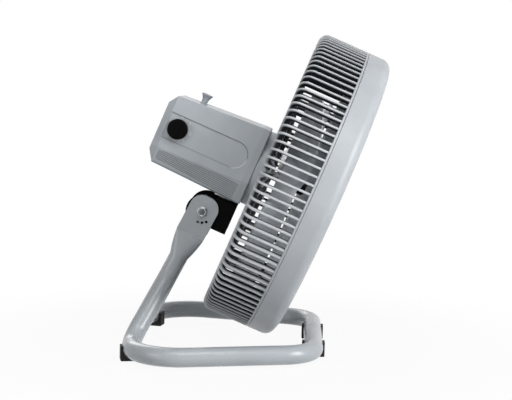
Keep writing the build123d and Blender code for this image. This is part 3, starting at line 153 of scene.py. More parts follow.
# name, place, aim, width, height and watts
SOFTBOXES = (
    ("top_softbox", (0.1, -1.3, 1.9), (0, 0, 0.25), 1.2, 1.0, 13),
    ("left_softbox", (-1.7, -1.6, 0.9), (0, 0, 0.25), 1.0, 1.4, 9),
    ("right_softbox", (1.8, -1.4, 0.9), (0.1, 0, 0.25), 1.0, 1.4, 40),
    ("far_softbox", (-0.9, 2.1, 1.5), (0, 0, 0.25), 1.4, 1.2, 14),
)
ROOM_LIGHT = 0.02               # strength of the white room where no lamp reaches
FLOOR_SIZE = 30
FLOOR_DROP = 0.4 * MM           # under the feet, so that the two do not share a plane
FLOOR_GLOW = 0.94               # how near the floor is to plain white beside the object
FLOOR_FADE = (0.25, 0.75)       # and the distances between which it becomes all white

TOUCHING = 0.01 * MM            # two points closer than this lie on one line
NEARLY = 0.1 * MM               # and closer than this, on one line of a bent shape
FLAT_OF_ROUND = 1.0 * MM        # how far a flat may cut inside the round that it stands for
SMOOTH_ANGLE = radians(32)      # sharper edges stay sharp

pivot = Vector(joints["tilt"]["pos_m"])
fan_middle = Vector(joints["blade_spin"]["pos_m"])
knob_middle = Vector(joints["speed_select"]["pos_m"])
forward = Vector((cos(HEAD_TILT), 0, -sin(HEAD_TILT)))
upward = Vector((sin(HEAD_TILT), 0, cos(HEAD_TILT)))
sideways = Vector((0, 1, 0))
bezel_front = DRUM_DEPTH + BEZEL_DEPTH
guard_front = bezel_front - GUARD_SET_BACK
guard_back = guard_front - GUARD_DEPTH
hub_back = DISH_DEPTH + RIB_DEPTH


# ---------------------------------------------------------------- materials
def linear(code):
    """Linear colour of an sRGB hex code."""
    channels = [int(code[i:i + 2], 16) / 255 for i in (1, 3, 5)]
    return [c / 12.92 if c <= 0.04045 else ((c + 0.055) / 1.055) ** 2.4 for c in channels] + [1.0]


def add_node(tree, kind, settings=None, **links):
    """Adds a node, sets its properties, and fills its sockets by name with values or links."""
    made = tree.nodes.new(kind)
    for name, value in (settings or {}).items():
        setattr(made, name, value)
    for name, value in links.items():
        socket = made.inputs[int(name[1:]) if name[1:].isdigit() else name.replace("_", " ")]
        if isinstance(value, bpy.types.NodeSocket):
            tree.links.new(value, socket)
        else:
            socket.default_value = value
    return made


def blank_material(name):
    """A material with only its shader, and the tree's usual coordinates."""
    material = bpy.data.materials.new(name)
    material.use_nodes = True
    tree = material.node_tree
    shader = tree.nodes["Principled BSDF"]
    place = add_node(tree, "ShaderNodeTexCoord").outputs["Object"]
    return material, tree, shader, place


def tone_and_grain(tree, shader, place, base, shade, rough, grain_mm, depth_mm, patch_mm=60.0):
    """Soft patches of tone and gloss, and the fine grain of the skin as bump."""
    patches = add_node(tree, "ShaderNodeTexNoise", Vector=place, Scale=1000 / patch_mm,
                       Detail=3.0, Roughness=0.55).outputs["Fac"]
    share = add_node(tree, "ShaderNodeMapRange", Value=patches, From_Min=0.35, From_Max=0.65)
    tone = add_node(tree, "ShaderNodeMix", {"data_type": "RGBA"}, _0=share.outputs[0],
                    _6=linear(base), _7=linear(shade))
    gloss = add_node(tree, "ShaderNodeMapRange", Value=patches, From_Min=0.3, From_Max=0.7,
                     To_Min=rough * 0.88, To_Max=rough * 1.12)
    grain = add_node(tree, "ShaderNodeTexNoise", Vector=place, Scale=1000 / grain_mm, Detail=2.0)
    bump = add_node(tree, "ShaderNodeBump", Strength=1.0, Distance=depth_mm * MM,
                    Height=grain.outputs["Fac"])
    tree.links.new(tone.outputs[2], shader.inputs["Base Color"])
    tree.links.new(gloss.outputs[0], shader.inputs["Roughness"])
    tree.links.new(bump.outputs["Normal"], shader.inputs["Normal"])


def powder_coated_steel(name, base, shade, rough):
    """Polyester powder coat: slight orange peel, an even satin gloss under a thin clear skin."""
    material, tree, shader, place = blank_material(name)
    # orange peel cells are 1.5 to 2.5 mm across and some hundredths deep
    tone_and_grain(tree, shader, place, base, shade, rough, grain_mm=2.4, depth_mm=0.05)
    shader.inputs["IOR"].default_value = 1.5
    shader.inputs["Coat Weight"].default_value = 0.25
    shader.inputs["Coat Roughness"].default_value = 0.18
    return material


def moulded_abs(name, base, shade, rough):
    """Injection-moulded ABS: fine spark-eroded grain, satin, faint tone changes from the flow."""
    material, tree, shader, place = blank_material(name)
    tone_and_grain(tree, shader, place, base, shade, rough, grain_mm=0.9, depth_mm=0.02)
    shader.inputs["IOR"].default_value = 1.54
    return material


def moulded_rubber(name, base, shade):
    """Carbon-filled rubber: matt, a little dusty, with a soft grain."""
    material, tree, shader, place = blank_material(name)
    tone_and_grain(tree, shader, place, base, shade, 0.72, grain_mm=1.2, depth_mm=0.05,
                   patch_mm=18.0)
    shader.inputs["IOR"].default_value = 1.52
    shader.inputs["Specular IOR Level"].default_value = 0.35
    return material


def turned_metal(name, base, shade, rough, grain_mm=1.4, depth_mm=0.01):
    """Plated or cast metal: a bright ground with fine tool marks and duller patches."""
    material, tree, shader, place = blank_material(name)
    tone_and_grain(tree, shader, place, base, shade, rough, grain_mm=grain_mm,
                   depth_mm=depth_mm, patch_mm=9.0)
    shader.inputs["Metallic"].default_value = 1.0
    return material


def painted_shade_between_ribs(material):
    """Painted shade: deeper between the ribs the grey darkens, so their outer edges stand out."""
    tree = material.node_tree
    shader = tree.nodes["Principled BSDF"]
    tone = shader.inputs["Base Color"].links[0].from_socket
    place = add_node(tree, "ShaderNodeTexCoord").outputs["Object"]
    from_hub = add_node(tree, "ShaderNodeVectorMath", {"operation": "SUBTRACT"},
                        _0=place, _1=fan_middle)
    along = add_node(tree, "ShaderNodeVectorMath", {"operation": "DOT_PRODUCT"},
                     _0=from_hub.outputs[0], _1=forward)
    across = add_node(tree, "ShaderNodeVectorMath", {"operation": "CROSS_PRODUCT"},
                      _0=from_hub.outputs[0], _1=forward)
    radius = add_node(tree, "ShaderNodeVectorMath", {"operation": "LENGTH"}, _0=across.outputs[0])
    # how near the point is to the outside, counted from a corner's width inside barrel and back
    side = add_node(tree, "ShaderNodeMapRange", Value=radius.outputs["Value"],
                    From_Min=DRUM_R - DRUM_CORNER_R, From_Max=DRUM_R, To_Max=DRUM_CORNER_R)
    fall = add_node(tree, "ShaderNodeMapRange", Value=radius.outputs["Value"], From_Min=HUB_R,
                    From_Max=DISH_R, To_Min=DISH_DEPTH, To_Max=0.0)
    inward = add_node(tree, "ShaderNodeMath", {"operation": "SUBTRACT"},
                      _0=along.outputs["Value"], _1=fall.outputs[0])
    back = add_node(tree, "ShaderNodeMapRange", Value=inward.outputs[0], From_Min=0.0,
                    From_Max=DRUM_CORNER_R, To_Min=DRUM_CORNER_R, To_Max=0.0)
    corner = add_node(tree, "ShaderNodeCombineXYZ", X=side.outputs[0], Y=back.outputs[0])
    reach = add_node(tree, "ShaderNodeVectorMath", {"operation": "LENGTH"}, _0=corner.outputs[0])
    # painted shade: darker flanks above the hub and at the foot, lighter rib tops between the two
    height = add_node(tree, "ShaderNodeVectorMath", {"operation": "DOT_PRODUCT"},
                      _0=from_hub.outputs[0], _1=upward)
    deeper = add_node(tree, "ShaderNodeMapRange", Value=height.outputs["Value"],
                      From_Min=TOP_RIBS, From_Max=MIDDLE_RIBS, To_Min=TOP_DEEPER,
                      To_Max=MIDDLE_DEEPER)
    foot = add_node(tree, "ShaderNodeMapRange", Value=height.outputs["Value"],
                    From_Min=FOOT_RIBS, From_Max=LOWER_RIBS, To_Min=FOOT_DEEPER,
                    To_Max=MIDDLE_DEEPER)
    deeper = add_node(tree, "ShaderNodeMath", {"operation": "MINIMUM"},
                      _0=deeper.outputs[0], _1=foot.outputs[0])
    reach = add_node(tree, "ShaderNodeMath", {"operation": "ADD"},
                     _0=reach.outputs["Value"], _1=deeper.outputs[0])
    share = add_node(tree, "ShaderNodeMapRange", Value=reach.outputs[0],
                     From_Min=DRUM_CORNER_R - SHADE_FULL, From_Max=DRUM_CORNER_R - SHADE_STARTS)
    shaded = add_node(tree, "ShaderNodeMix", {"data_type": "RGBA"}, _0=share.outputs[0],
                      _6=linear(RIB_SHADE), _7=tone)
    tree.links.new(shaded.outputs[2], shader.inputs["Base Color"])
    # the painted shade also dulls the sheen deeper between the ribs
    sheen = add_node(tree, "ShaderNodeMapRange", Value=share.outputs[0], To_Min=0.1, To_Max=0.5)
    tree.links.new(sheen.outputs[0], shader.inputs["Specular IOR Level"])
    return material


def with_painted_outline_and_vent_shade(material):
    """Painted shade on the panel's outline and in the vent grooves, painted light round its end.
    """
    tree = material.node_tree
    shader = tree.nodes["Principled BSDF"]
    tone = shader.inputs["Base Color"].links[0].from_socket
    place = add_node(tree, "ShaderNodeTexCoord").outputs["Object"]
    from_knob = add_node(tree, "ShaderNodeVectorMath", {"operation": "SUBTRACT"},
                         _0=place, _1=knob_middle)
    ahead = add_node(tree, "ShaderNodeVectorMath", {"operation": "DOT_PRODUCT"},
                     _0=from_knob.outputs[0], _1=forward)
    above = add_node(tree, "ShaderNodeVectorMath", {"operation": "DOT_PRODUCT"},
                     _0=from_knob.outputs[0], _1=upward)
    split = add_node(tree, "ShaderNodeSeparateXYZ", Vector=place)
    out = add_node(tree, "ShaderNodeMath", {"operation": "ABSOLUTE"}, _0=split.outputs["Y"])
    # distance from the panel's outline
    past = add_node(tree, "ShaderNodeMath", {"operation": "SUBTRACT"},
                    _0=ahead.outputs["Value"], _1=KNOB_TO_PANEL_END)
    past = add_node(tree, "ShaderNodeMath", {"operation": "MAXIMUM"}, _0=past.outputs[0], _1=0.0)
    spot = add_node(tree, "ShaderNodeCombineXYZ", X=past.outputs[0], Y=above.outputs["Value"])
    reach = add_node(tree, "ShaderNodeVectorMath", {"operation": "LENGTH"}, _0=spot.outputs[0])
    gap = add_node(tree, "ShaderNodeMath", {"operation": "SUBTRACT"},
                   _0=reach.outputs["Value"], _1=PANEL_HALF_HEIGHT)
    gap = add_node(tree, "ShaderNodeMath", {"operation": "ABSOLUTE"}, _0=gap.outputs[0])
    # painted shade on the outline, darkest above, and a painted highlight round its end
    line = add_node(tree, "ShaderNodeMapRange", Value=gap.outputs[0],
                    From_Min=PANEL_LINE_CORE, From_Max=PANEL_LINE_EDGE, To_Min=0.9, To_Max=0.0)
    lower = add_node(tree, "ShaderNodeMapRange", Value=above.outputs["Value"],
                     From_Min=PANEL_LINE_TURN, From_Max=-PANEL_LINE_TURN)
    end = add_node(tree, "ShaderNodeMapRange", Value=past.outputs[0], From_Max=PANEL_END_FADE)
    below = add_node(tree, "ShaderNodeMix", {"data_type": "RGBA"}, _0=end.outputs[0],
                     _6=linear(PANEL_SHADE_BELOW), _7=linear(PANEL_HIGHLIGHT_END))
    edge = add_node(tree, "ShaderNodeMix", {"data_type": "RGBA"}, _0=lower.outputs[0],
                    _6=linear(PANEL_SHADE_ABOVE), _7=below.outputs[2])
    painted_outline = add_node(tree, "ShaderNodeMix", {"data_type": "RGBA"}, _0=line.outputs[0],
                     _6=tone, _7=edge.outputs[2])
    # painted shade in the vent grooves: depth under the slanted face, only below its upper edge
    at = add_node(tree, "ShaderNodeCombineXYZ", X=ahead.outputs["Value"], Y=out.outputs[0],
                  Z=above.outputs["Value"])
    at = add_node(tree, "ShaderNodeVectorMath", {"operation": "SUBTRACT"},
                  _0=at.outputs[0], _1=VENT_FOOT)
    depth = add_node(tree, "ShaderNodeVectorMath", {"operation": "DOT_PRODUCT"},
                     _0=at.outputs[0], _1=VENT_OUT)
    groove = add_node(tree, "ShaderNodeMapRange", Value=depth.outputs["Value"],
                      From_Min=VENT_SHADE_STARTS, From_Max=VENT_SHADE_FULL)
    under = add_node(tree, "ShaderNodeMapRange", Value=above.outputs["Value"],
                     From_Min=VENT_TOP + VENT_TOP_FADE, From_Max=VENT_TOP)
    dark = add_node(tree, "ShaderNodeMath", {"operation": "MULTIPLY"},
                    _0=groove.outputs[0], _1=under.outputs[0])
    painted_vent_shade = add_node(tree, "ShaderNodeMix", {"data_type": "RGBA"}, _0=dark.outputs[0],
                      _6=painted_outline.outputs[2], _7=linear(VENT_SHADE))
    tree.links.new(painted_vent_shade.outputs[2], shader.inputs["Base Color"])
    return material


grey_housing = powder_coated_steel("powder_coat_housing_grey", "#C2C8CE", "#BBC1C7", 0.38)
panel_housing = with_painted_outline_and_vent_shade(
    powder_coated_steel("powder_coat_housing_side", "#C2C8CE", "#BBC1C7", 0.38))
grey_tube = powder_coated_steel("powder_coat_tube_grey", "#B9BFC4", "#B2B8BD", 0.28)
grey_abs = moulded_abs("moulded_abs_grille_grey", "#BEC3C8", "#B7BCC1", 0.40)
# the ribs' grey is lighter than the grille's: painted light on their outer edges
rib_abs = painted_shade_between_ribs(moulded_abs("moulded_abs_rib_grey", "#D0D4D8", "#C9CDD1", 0.40))
blade_abs = moulded_abs("moulded_abs_blade_grey", "#DDE1E7", "#CDD2D9", 0.33)
black_abs = moulded_abs("moulded_abs_black", "#050506", "#080809", 0.36)
black_coat = powder_coated_steel("black_bracket_coat", "#040404", "#060606", 0.5)
for dull_black in (black_abs, black_coat):
    shader = dull_black.node_tree.nodes["Principled BSDF"]
    shader.inputs["Specular IOR Level"].default_value = BLACK_SHEEN
    shader.inputs["Coat Weight"].default_value = 0.0
black_rubber = moulded_rubber("foot_rubber_black", "#131313", "#1A1918")
zinc = turned_metal("zinc_plated_steel", "#A9ADB0", "#929698", 0.36)
# the key in the bolt's cup: a rougher copy of the zinc, its darker tone painted shade
dull_zinc_painted_shade = turned_metal("zinc_plated_bolt_key", "#6A6C6E", "#56585A", 0.5)
cast_alloy = turned_metal("cast_aluminium", "#B9BABB", "#A2A3A4", 0.46, 1.6, 0.04)
copper = turned_metal("varnished_copper_wire", "#A8633A", "#8C4F2C", 0.35, 0.8, 0.12)
laminations = turned_metal("stacked_steel_laminations", "#7D7E80", "#6A6B6D", 0.45, 0.7, 0.08)
natural_acetal = moulded_abs("moulded_acetal_natural", "#CFC5B0", "#C4B9A3", 0.45)
white_ink = moulded_abs("pad_printed_white_ink", "#FDFDFD", "#F8F8F8", 0.3)

finishes = {
    grey_housing: ("rear_cover",),
    panel_housing: ("motor_housing",),
    grey_tube: ("stand_tube",),
    grey_abs: ("rear_grille", "front_grille", "centre_cap", "housing_flange",
               "oscillation_knob"),
    blade_abs: ("fan_blade",),
    black_abs: ("speed_knob", "speed_switch", "cord_gland", "capacitor", "blade_nut",
                "pivot_washers"),
    black_coat: ("tilt_bracket", "bracket_rivets"),
    black_rubber: ("rear_foot_right", "rear_foot_left", "front_foot_right", "front_foot_left"),
    zinc: ("pivot_bolts", "pivot_nuts", "detent_balls", "detent_springs",
           "neck_post", "post_clip", "link_pin", "cover_screws", "swivel_plate", "rear_bearing",
           "front_bearing", "tie_bolts", "grille_screws", "grille_lock_screw", "motor_shaft",
           "crank_disc", "drive_link"),
    cast_alloy: ("gearbox_case", "rear_end_bell", "front_end_bell"),
    copper: ("stator_windings",),
    laminations: ("stator_core", "rotor_core"),
    natural_acetal: ("swivel_washer", "worm_wheel"),
}
for material, names in finishes.items():
    for name in names:
        nodes[name].data.materials.clear()
        nodes[name].data.materials.append(material)


# ---------------------------------------------------------------- working by hand
def clear_selection():
    """Nothing selected and no active object."""
    bpy.ops.object.select_all(action="DESELECT")
    bpy.context.view_layer.objects.active = None


def only(piece):
    """Selects this piece alone and makes it the active one."""
    clear_selection()
    piece.select_set(True)
    bpy.context.view_layer.objects.active = piece


def start_editing(kind):
    """Edit mode on the active piece, selecting VERT, EDGE or FACE, with nothing selected."""
    bpy.ops.object.mode_set(mode="EDIT")
    bpy.ops.mesh.select_mode(type=kind)
    bpy.ops.mesh.select_all(action="DESELECT")


def pick(kind, test):
    """Selects, besides what is selected, the edited verts, edges or faces that pass the test."""
    mesh = bmesh.from_edit_mesh(bpy.context.object.data)
    for element in getattr(mesh, kind):
        points = [element.co] if kind == "verts" else [vert.co for vert in element.verts]
        if all(test(point) for point in points):
            element.select_set(True)
    mesh.select_flush_mode()
    bmesh.update_edit_mesh(bpy.context.object.data)


def flat_strip(name, near, far):
    """A rectangle standing in the XZ plane between two corners given as (x, z)."""
    clear_selection()
    middle = ((near[0] + far[0]) / 2, 0, (near[1] + far[1]) / 2)
    bpy.ops.mesh.primitive_plane_add(size=1, location=middle, rotation=(pi / 2, 0, 0))
    piece = bpy.context.object
    piece.name = name
    piece.scale = (abs(far[0] - near[0]), abs(far[1] - near[1]), 1)
    bpy.ops.object.transform_apply(location=True, rotation=True, scale=True)
    return piece


def finish_shell(piece, material):
    """Merges seams, turns the faces outwards, shades smooth but for sharp edges, and paints."""
    only(piece)
    start_editing("VERT")
    bpy.ops.mesh.select_all(action="SELECT")
    bpy.ops.mesh.remove_doubles(threshold=2 * TOUCHING)
    bpy.ops.mesh.normals_make_consistent(inside=False)
    bpy.ops.object.mode_set(mode="OBJECT")
    bpy.ops.object.shade_smooth_by_angle(angle=SMOOTH_ANGLE)
    piece.data.materials.clear()
    piece.data.materials.append(material)


def copies_round(piece, count, first_turn=0.0):
    """Copies the piece round the Z axis in equal steps, starting turned by first_turn."""
    only(piece)
    start_editing("VERT")
    bpy.ops.mesh.select_all(action="SELECT")
    bpy.ops.transform.rotate(value=first_turn, orient_axis="Z", center_override=(0, 0, 0))
    for _ in range(count - 1):
        bpy.ops.mesh.duplicate()
        bpy.ops.transform.rotate(value=2 * pi / count, orient_axis="Z", center_override=(0, 0, 0))
    bpy.ops.object.mode_set(mode="OBJECT")


def turned_ring(name, outer, inner, start, end, bevel, steps=128):
    """A ring about the Z axis: a small rectangle swung right round, its edges eased."""
    piece = flat_strip(name, (inner, start), (outer, end))
    start_editing("VERT")
    bpy.ops.mesh.select_all(action="SELECT")
    bpy.ops.mesh.bevel(offset=bevel, segments=2, affect="VERTICES")
    bpy.ops.mesh.select_all(action="SELECT")
    bpy.ops.mesh.delete(type="ONLY_FACE")
    bpy.ops.mesh.select_all(action="SELECT")
    bpy.ops.mesh.spin(steps=steps, angle=2 * pi, center=(0, 0, 0), axis=(0, 0, 1))
    bpy.ops.object.mode_set(mode="OBJECT")
    return piece


def set_down(piece, place, across, over, out):
    """Moves a piece from the origin to its place: its X, Y and Z turn to across, over and out."""
    only(piece)
    piece.matrix_world = Matrix.Translation(place) @ Matrix((
        (across.x, over.x, out.x), (across.y, over.y, out.y), (across.z, over.z, out.z))).to_4x4()
    bpy.ops.object.transform_apply(location=True, rotation=True, scale=True)


def join_into(first, others):
    """Joins the other pieces into the first."""
    only(first)
    for piece in others:
        piece.select_set(True)
    bpy.ops.object.join()
    return first


def hand_over(piece, body, slot, *replaced):
    """The piece moves with a body and stands for solid nodes, if any; slot is not used."""
    clear_selection()
    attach(piece, body)
    if replaced:
        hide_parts(*replaced)


# ---------------------------------------------------------------- rear grille
def dish_fall(radius):
    """How far the dished back has fallen in towards the front at a radius."""
    return DISH_DEPTH * (DISH_R - radius) / (DISH_R - HUB_R)


def back_rib(name, inner_r):
    """One rib: down the barrel, round the corner and in over the dished back, outside eased."""
    piece = flat_strip(name, (DRUM_R - RIB_DEPTH, DRUM_CORNER_R),
                       (DRUM_R, DRUM_DEPTH - SEAM_FLANGE))
    start_editing("VERT")
    pick("verts", lambda at: at.z < DRUM_CORNER_R + NEARLY)
    bpy.ops.mesh.spin(steps=6, angle=pi / 2, center=(DRUM_R - DRUM_CORNER_R, 0, DRUM_CORNER_R),
                      axis=(0, -1, 0))
    bpy.ops.mesh.extrude_region_move(
        TRANSFORM_OT_translate={"value": (DISH_R - DRUM_R + DRUM_CORNER_R, 0, 0)})
    bpy.ops.mesh.extrude_region_move(
        TRANSFORM_OT_translate={"value": (inner_r - DISH_R, 0, dish_fall(inner_r))})
    bpy.ops.mesh.select_all(action="SELECT")
    bpy.ops.transform.translate(value=(0, -RIB_THICK / 2, 0))
    bpy.ops.mesh.extrude_region_move(TRANSFORM_OT_translate={"value": (0, RIB_THICK, 0)})
    bpy.ops.mesh.select_all(action="DESELECT")
    bpy.ops.mesh.select_mode(type="EDGE")

    def outside(at):
        """Whether a point is on the rib's outer line."""
        corner = Vector((at.x - DRUM_R + DRUM_CORNER_R, at.z - DRUM_CORNER_R))
        on_corner = (corner.x > -NEARLY and corner.y < NEARLY
                     and corner.length > DRUM_CORNER_R - FLAT_OF_ROUND)
        on_back = corner.x < NEARLY and at.z < max(dish_fall(at.x), 0) + NEARLY
        return at.x > DRUM_R - NEARLY or on_corner or on_back

    mesh = bmesh.from_edit_mesh(piece.data)
    for edge in mesh.edges:
        first, last = (vert.co for vert in edge.verts)
        edge.select_set(abs(first.y - last.y) < TOUCHING and outside(first) and outside(last))
    bmesh.update_edit_mesh(piece.data)
    bpy.ops.mesh.bevel(offset=RIB_THICK * EDGE_EASE, segments=2, affect="EDGES")
    bpy.ops.object.mode_set(mode="OBJECT")
    return piece


long_ribs = back_rib("long_ribs", HUB_R - RIB_TUCK)
copies_round(long_ribs, RIB_COUNT // 2)
short_ribs = back_rib("short_ribs", MID_RING_R)
copies_round(short_ribs, RIB_COUNT // 2, 2 * pi / RIB_COUNT)
mid_dish = dish_fall(MID_RING_R)
rings = [
    turned_ring("seam_ring", DRUM_R, DRUM_R - SEAM_DEPTH, DRUM_DEPTH - SEAM_FLANGE,
                DRUM_DEPTH - 2 * SEAM_GAP, bevel=0.7 * MM, steps=ROUND_STEPS),
    turned_ring("back_middle_ring", MID_RING_R + RING_WIDTH / 2, MID_RING_R - RING_WIDTH / 2,
                mid_dish, mid_dish + RIB_DEPTH, bevel=1.2 * MM),
    turned_ring("hub_plate", HUB_R, PAD_BORE_R, hub_back - HUB_PLATE, hub_back,
                bevel=0.8 * MM),
    turned_ring("hub_wall", HUB_R, HUB_R - HUB_WALL, DISH_DEPTH, hub_back - HUB_STEP,
                bevel=1.2 * MM),
    turned_ring("mounting_pad", PAD_R, PAD_BORE_R, PAD_BACK, hub_back - HUB_STEP,
                bevel=1.5 * MM),
]
for ribs in (long_ribs, short_ribs):
    finish_shell(ribs, rib_abs)
for ring in rings:
    finish_shell(ring, grey_abs)
rear_cage = join_into(long_ribs, [short_ribs] + rings)
rear_cage.name = "ribbed_rear_grille"
set_down(rear_cage, fan_middle, sideways, upward, forward)
hand_over(rear_cage, "head", "light_grey_plastic", "rear_grille")

# ---------------------------------------------------------------- front bezel and guard
radius, height = DRUM_R - SEAM_CHAMFER, DRUM_DEPTH + SEAM_GAP
clear_selection()
bpy.ops.mesh.primitive_circle_add(vertices=ROUND_STEPS, radius=radius, location=(0, 0, height))
bezel = bpy.context.object
bezel.name = "front_bezel"
bpy.ops.object.transform_apply(location=True, rotation=True, scale=True)
start_editing("VERT")
bpy.ops.mesh.select_all(action="SELECT")
# each step is (radius, height) of the next hoop, up the wall, round the rim and into the mouth
rim_middle = (DRUM_R - BEZEL_RIM_R, bezel_front - BEZEL_RIM_R)
hoops = [(DRUM_R, height + SEAM_CHAMFER), (DRUM_R, rim_middle[1])]
for step in range(1, BEZEL_RIM_STEPS + 1):
    turn = step * pi / 2 / BEZEL_RIM_STEPS
    hoops.append((rim_middle[0] + BEZEL_RIM_R * cos(turn),
                  rim_middle[1] + BEZEL_RIM_R * sin(turn)))
hoops += [(GUARD_R + MOUTH_CHAMFER, bezel_front), (GUARD_R, bezel_front - MOUTH_CHAMFER),
          (GUARD_R, guard_back)]
for next_radius, next_height in hoops:
    bpy.ops.mesh.extrude_region_move(
        TRANSFORM_OT_translate={"value": (0, 0, next_height - height)})
    bpy.ops.transform.resize(value=(next_radius / radius, next_radius / radius, 1),
                             center_override=(0, 0, next_height))
    radius, height = next_radius, next_height
bpy.ops.mesh.select_all(action="SELECT")
bpy.ops.mesh.normals_make_consistent(inside=False)
bpy.ops.object.mode_set(mode="OBJECT")
wall = bezel.modifiers.new("wall", "SOLIDIFY")
wall.thickness = BEZEL_SKIN
wall.offset = -1
bpy.ops.object.modifier_apply(modifier="wall")


def guard_bar(name, inner_r):
    """One straight bar of the guard, from inner_r out to the bezel, with eased edges."""
    clear_selection()
    outer_r = GUARD_R + GUARD_TUCK
    bpy.ops.mesh.primitive_cube_add(
        size=1, location=((inner_r + outer_r) / 2, 0, (guard_back + guard_front) / 2))
    piece = bpy.context.object
    piece.name = name
    piece.scale = (outer_r - inner_r, GUARD_RIB, GUARD_DEPTH)
    bpy.ops.object.transform_apply(location=True, rotation=True, scale=True)
    start_editing("EDGE")
    for side in (guard_front, guard_back):
        for edge_y in (-GUARD_RIB / 2, GUARD_RIB / 2):
            pick("edges", lambda at: abs(at.z - side) < TOUCHING
                 and abs(at.y - edge_y) < TOUCHING)
    bpy.ops.mesh.bevel(offset=GUARD_RIB * EDGE_EASE, segments=2, affect="EDGES")
    bpy.ops.object.mode_set(mode="OBJECT")
    return piece


long_bars = guard_bar("long_bars", CAP_R - GUARD_TUCK)
copies_round(long_bars, RIB_COUNT // 2)
short_bars = guard_bar("short_bars", MID_RING_R)
copies_round(short_bars, RIB_COUNT // 2, 2 * pi / RIB_COUNT)
guard_rings = [
    turned_ring("guard_middle_ring", MID_RING_R + RING_WIDTH / 2, MID_RING_R - RING_WIDTH / 2,
                guard_back, guard_front, bevel=1.2 * MM),
    turned_ring("guard_cup", CAP_R, CUP_BORE_R, guard_back, guard_front - CAP_SEAT,
                bevel=0.8 * MM),
    turned_ring("guard_cup_rim", CAP_R, CAP_R - CUP_WALL, guard_back + GUARD_TUCK, guard_front,
                bevel=0.9 * MM),
]
front_guard = join_into(bezel, [long_bars, short_bars] + guard_rings)
front_guard.name = "front_bezel_and_guard"
finish_shell(front_guard, grey_abs)
set_down(front_guard, fan_middle, sideways, upward, forward)
hand_over(front_guard, "head", "light_grey_plastic", "front_grille")

# ---------------------------------------------------------------- pivot bolts
bolt_out = pivot.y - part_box("pivot_bolts")[0][1]
bolt_in = min(abs(point.co.y - pivot.y) for point in nodes["pivot_bolts"].data.vertices)
under_head = bolt_out - BOLT_HEAD
clear_selection()
bpy.ops.mesh.primitive_cylinder_add(vertices=48, radius=BOLT_R, depth=under_head - bolt_in,
                                    location=(0, 0, (under_head + bolt_in) / 2))
near_bolt = bpy.context.object
near_bolt.name = "pivot_bolt"
bpy.ops.object.transform_apply(location=True, rotation=True, scale=True)
start_editing("FACE")
pick("faces", lambda at: at.z > under_head - TOUCHING)
radius = BOLT_R
for next_radius, rise in BOLT_STEPS:
    bpy.ops.mesh.extrude_region_move(TRANSFORM_OT_translate={"value": (0, 0, rise)})
    bpy.ops.transform.resize(value=(next_radius / radius, next_radius / radius, 1),
                             center_override=(0, 0, 0))
    radius = next_radius
bpy.ops.object.mode_set(mode="OBJECT")
# the six-sided key in the cup, in darker zinc as painted shade
key_top = bolt_out - BOLT_KEY_SUNK
clear_selection()
bpy.ops.mesh.primitive_cylinder_add(vertices=6, radius=BOLT_KEY_R, depth=BOLT_KEY_DEPTH,
                                    location=(0, 0, key_top - BOLT_KEY_DEPTH / 2))
key = bpy.context.object
bpy.ops.object.transform_apply(location=True, rotation=True, scale=True)
start_editing("EDGE")
pick("edges", lambda at: at.z > key_top - TOUCHING)
bpy.ops.mesh.bevel(offset=BOLT_KEY_EASE, segments=2, affect="EDGES")
bpy.ops.object.mode_set(mode="OBJECT")
finish_shell(near_bolt, zinc)
finish_shell(key, dull_zinc_painted_shade)
join_into(near_bolt, [key])
only(near_bolt)
bpy.ops.object.duplicate()
far_bolt = bpy.context.object
set_down(near_bolt, pivot, forward, upward, -sideways)
set_down(far_bolt, pivot, -forward, upward, sideways)
bolts = join_into(near_bolt, [far_bolt])
bolts.name = "turned_pivot_bolts"
hand_over(bolts, "stand", "zinc_steel", "pivot_bolts")

# ---------------------------------------------------------------- dial marks
dial_marks = []
for place_on_dial, digit in enumerate(("0", "3", "2", "1")):
    clear_selection()
    bpy.ops.object.text_add()
    mark = bpy.context.object
    mark.data.body = digit
    mark.data.size = MARK_SIZE
    mark.data.align_x = "CENTER"
    mark.data.align_y = "CENTER"
    mark.data.extrude = MARK_PROUD
    bpy.ops.object.convert(target="MESH")
    angle = radians(FIRST_MARK - MARK_STEP * place_on_dial)
    mark.name = f"dial_mark_{digit}"
    spot = knob_middle + (forward * cos(angle) + upward * sin(angle)) * KNOB_TO_MARK
    touched, point, _, _ = nodes["motor_housing"].ray_cast(
        Vector((spot.x, knob_middle.y - CAST_FROM, spot.z)), sideways)
    if not touched:
        raise ValueError("a dial mark lies off the housing")
    spot.y = point.y - MARK_PROUD
    set_down(mark, spot, forward, upward, forward.cross(upward))
    mark.data.materials.clear()
    mark.data.materials.append(white_ink)
    dial_marks.append(mark)
marks = join_into(dial_marks[0], dial_marks[1:])
marks.name = "dial_marks"
hand_over(marks, "head", "light_grey_housing")


# ---------------------------------------------------------------- stage, light and camera
def seen_by_eye(tree):
    """One where a camera, glossy or transmission ray looks, none where light is only carried."""
    ray = add_node(tree, "ShaderNodeLightPath")
    seen = add_node(tree, "ShaderNodeMath", {"operation": "MAXIMUM"},
                    _0=ray.outputs["Is Camera Ray"], _1=ray.outputs["Is Glossy Ray"])
    seen = add_node(tree, "ShaderNodeMath", {"operation": "MAXIMUM"},
                    _0=seen.outputs[0], _1=ray.outputs["Is Transmission Ray"])
    return seen.outputs[0]


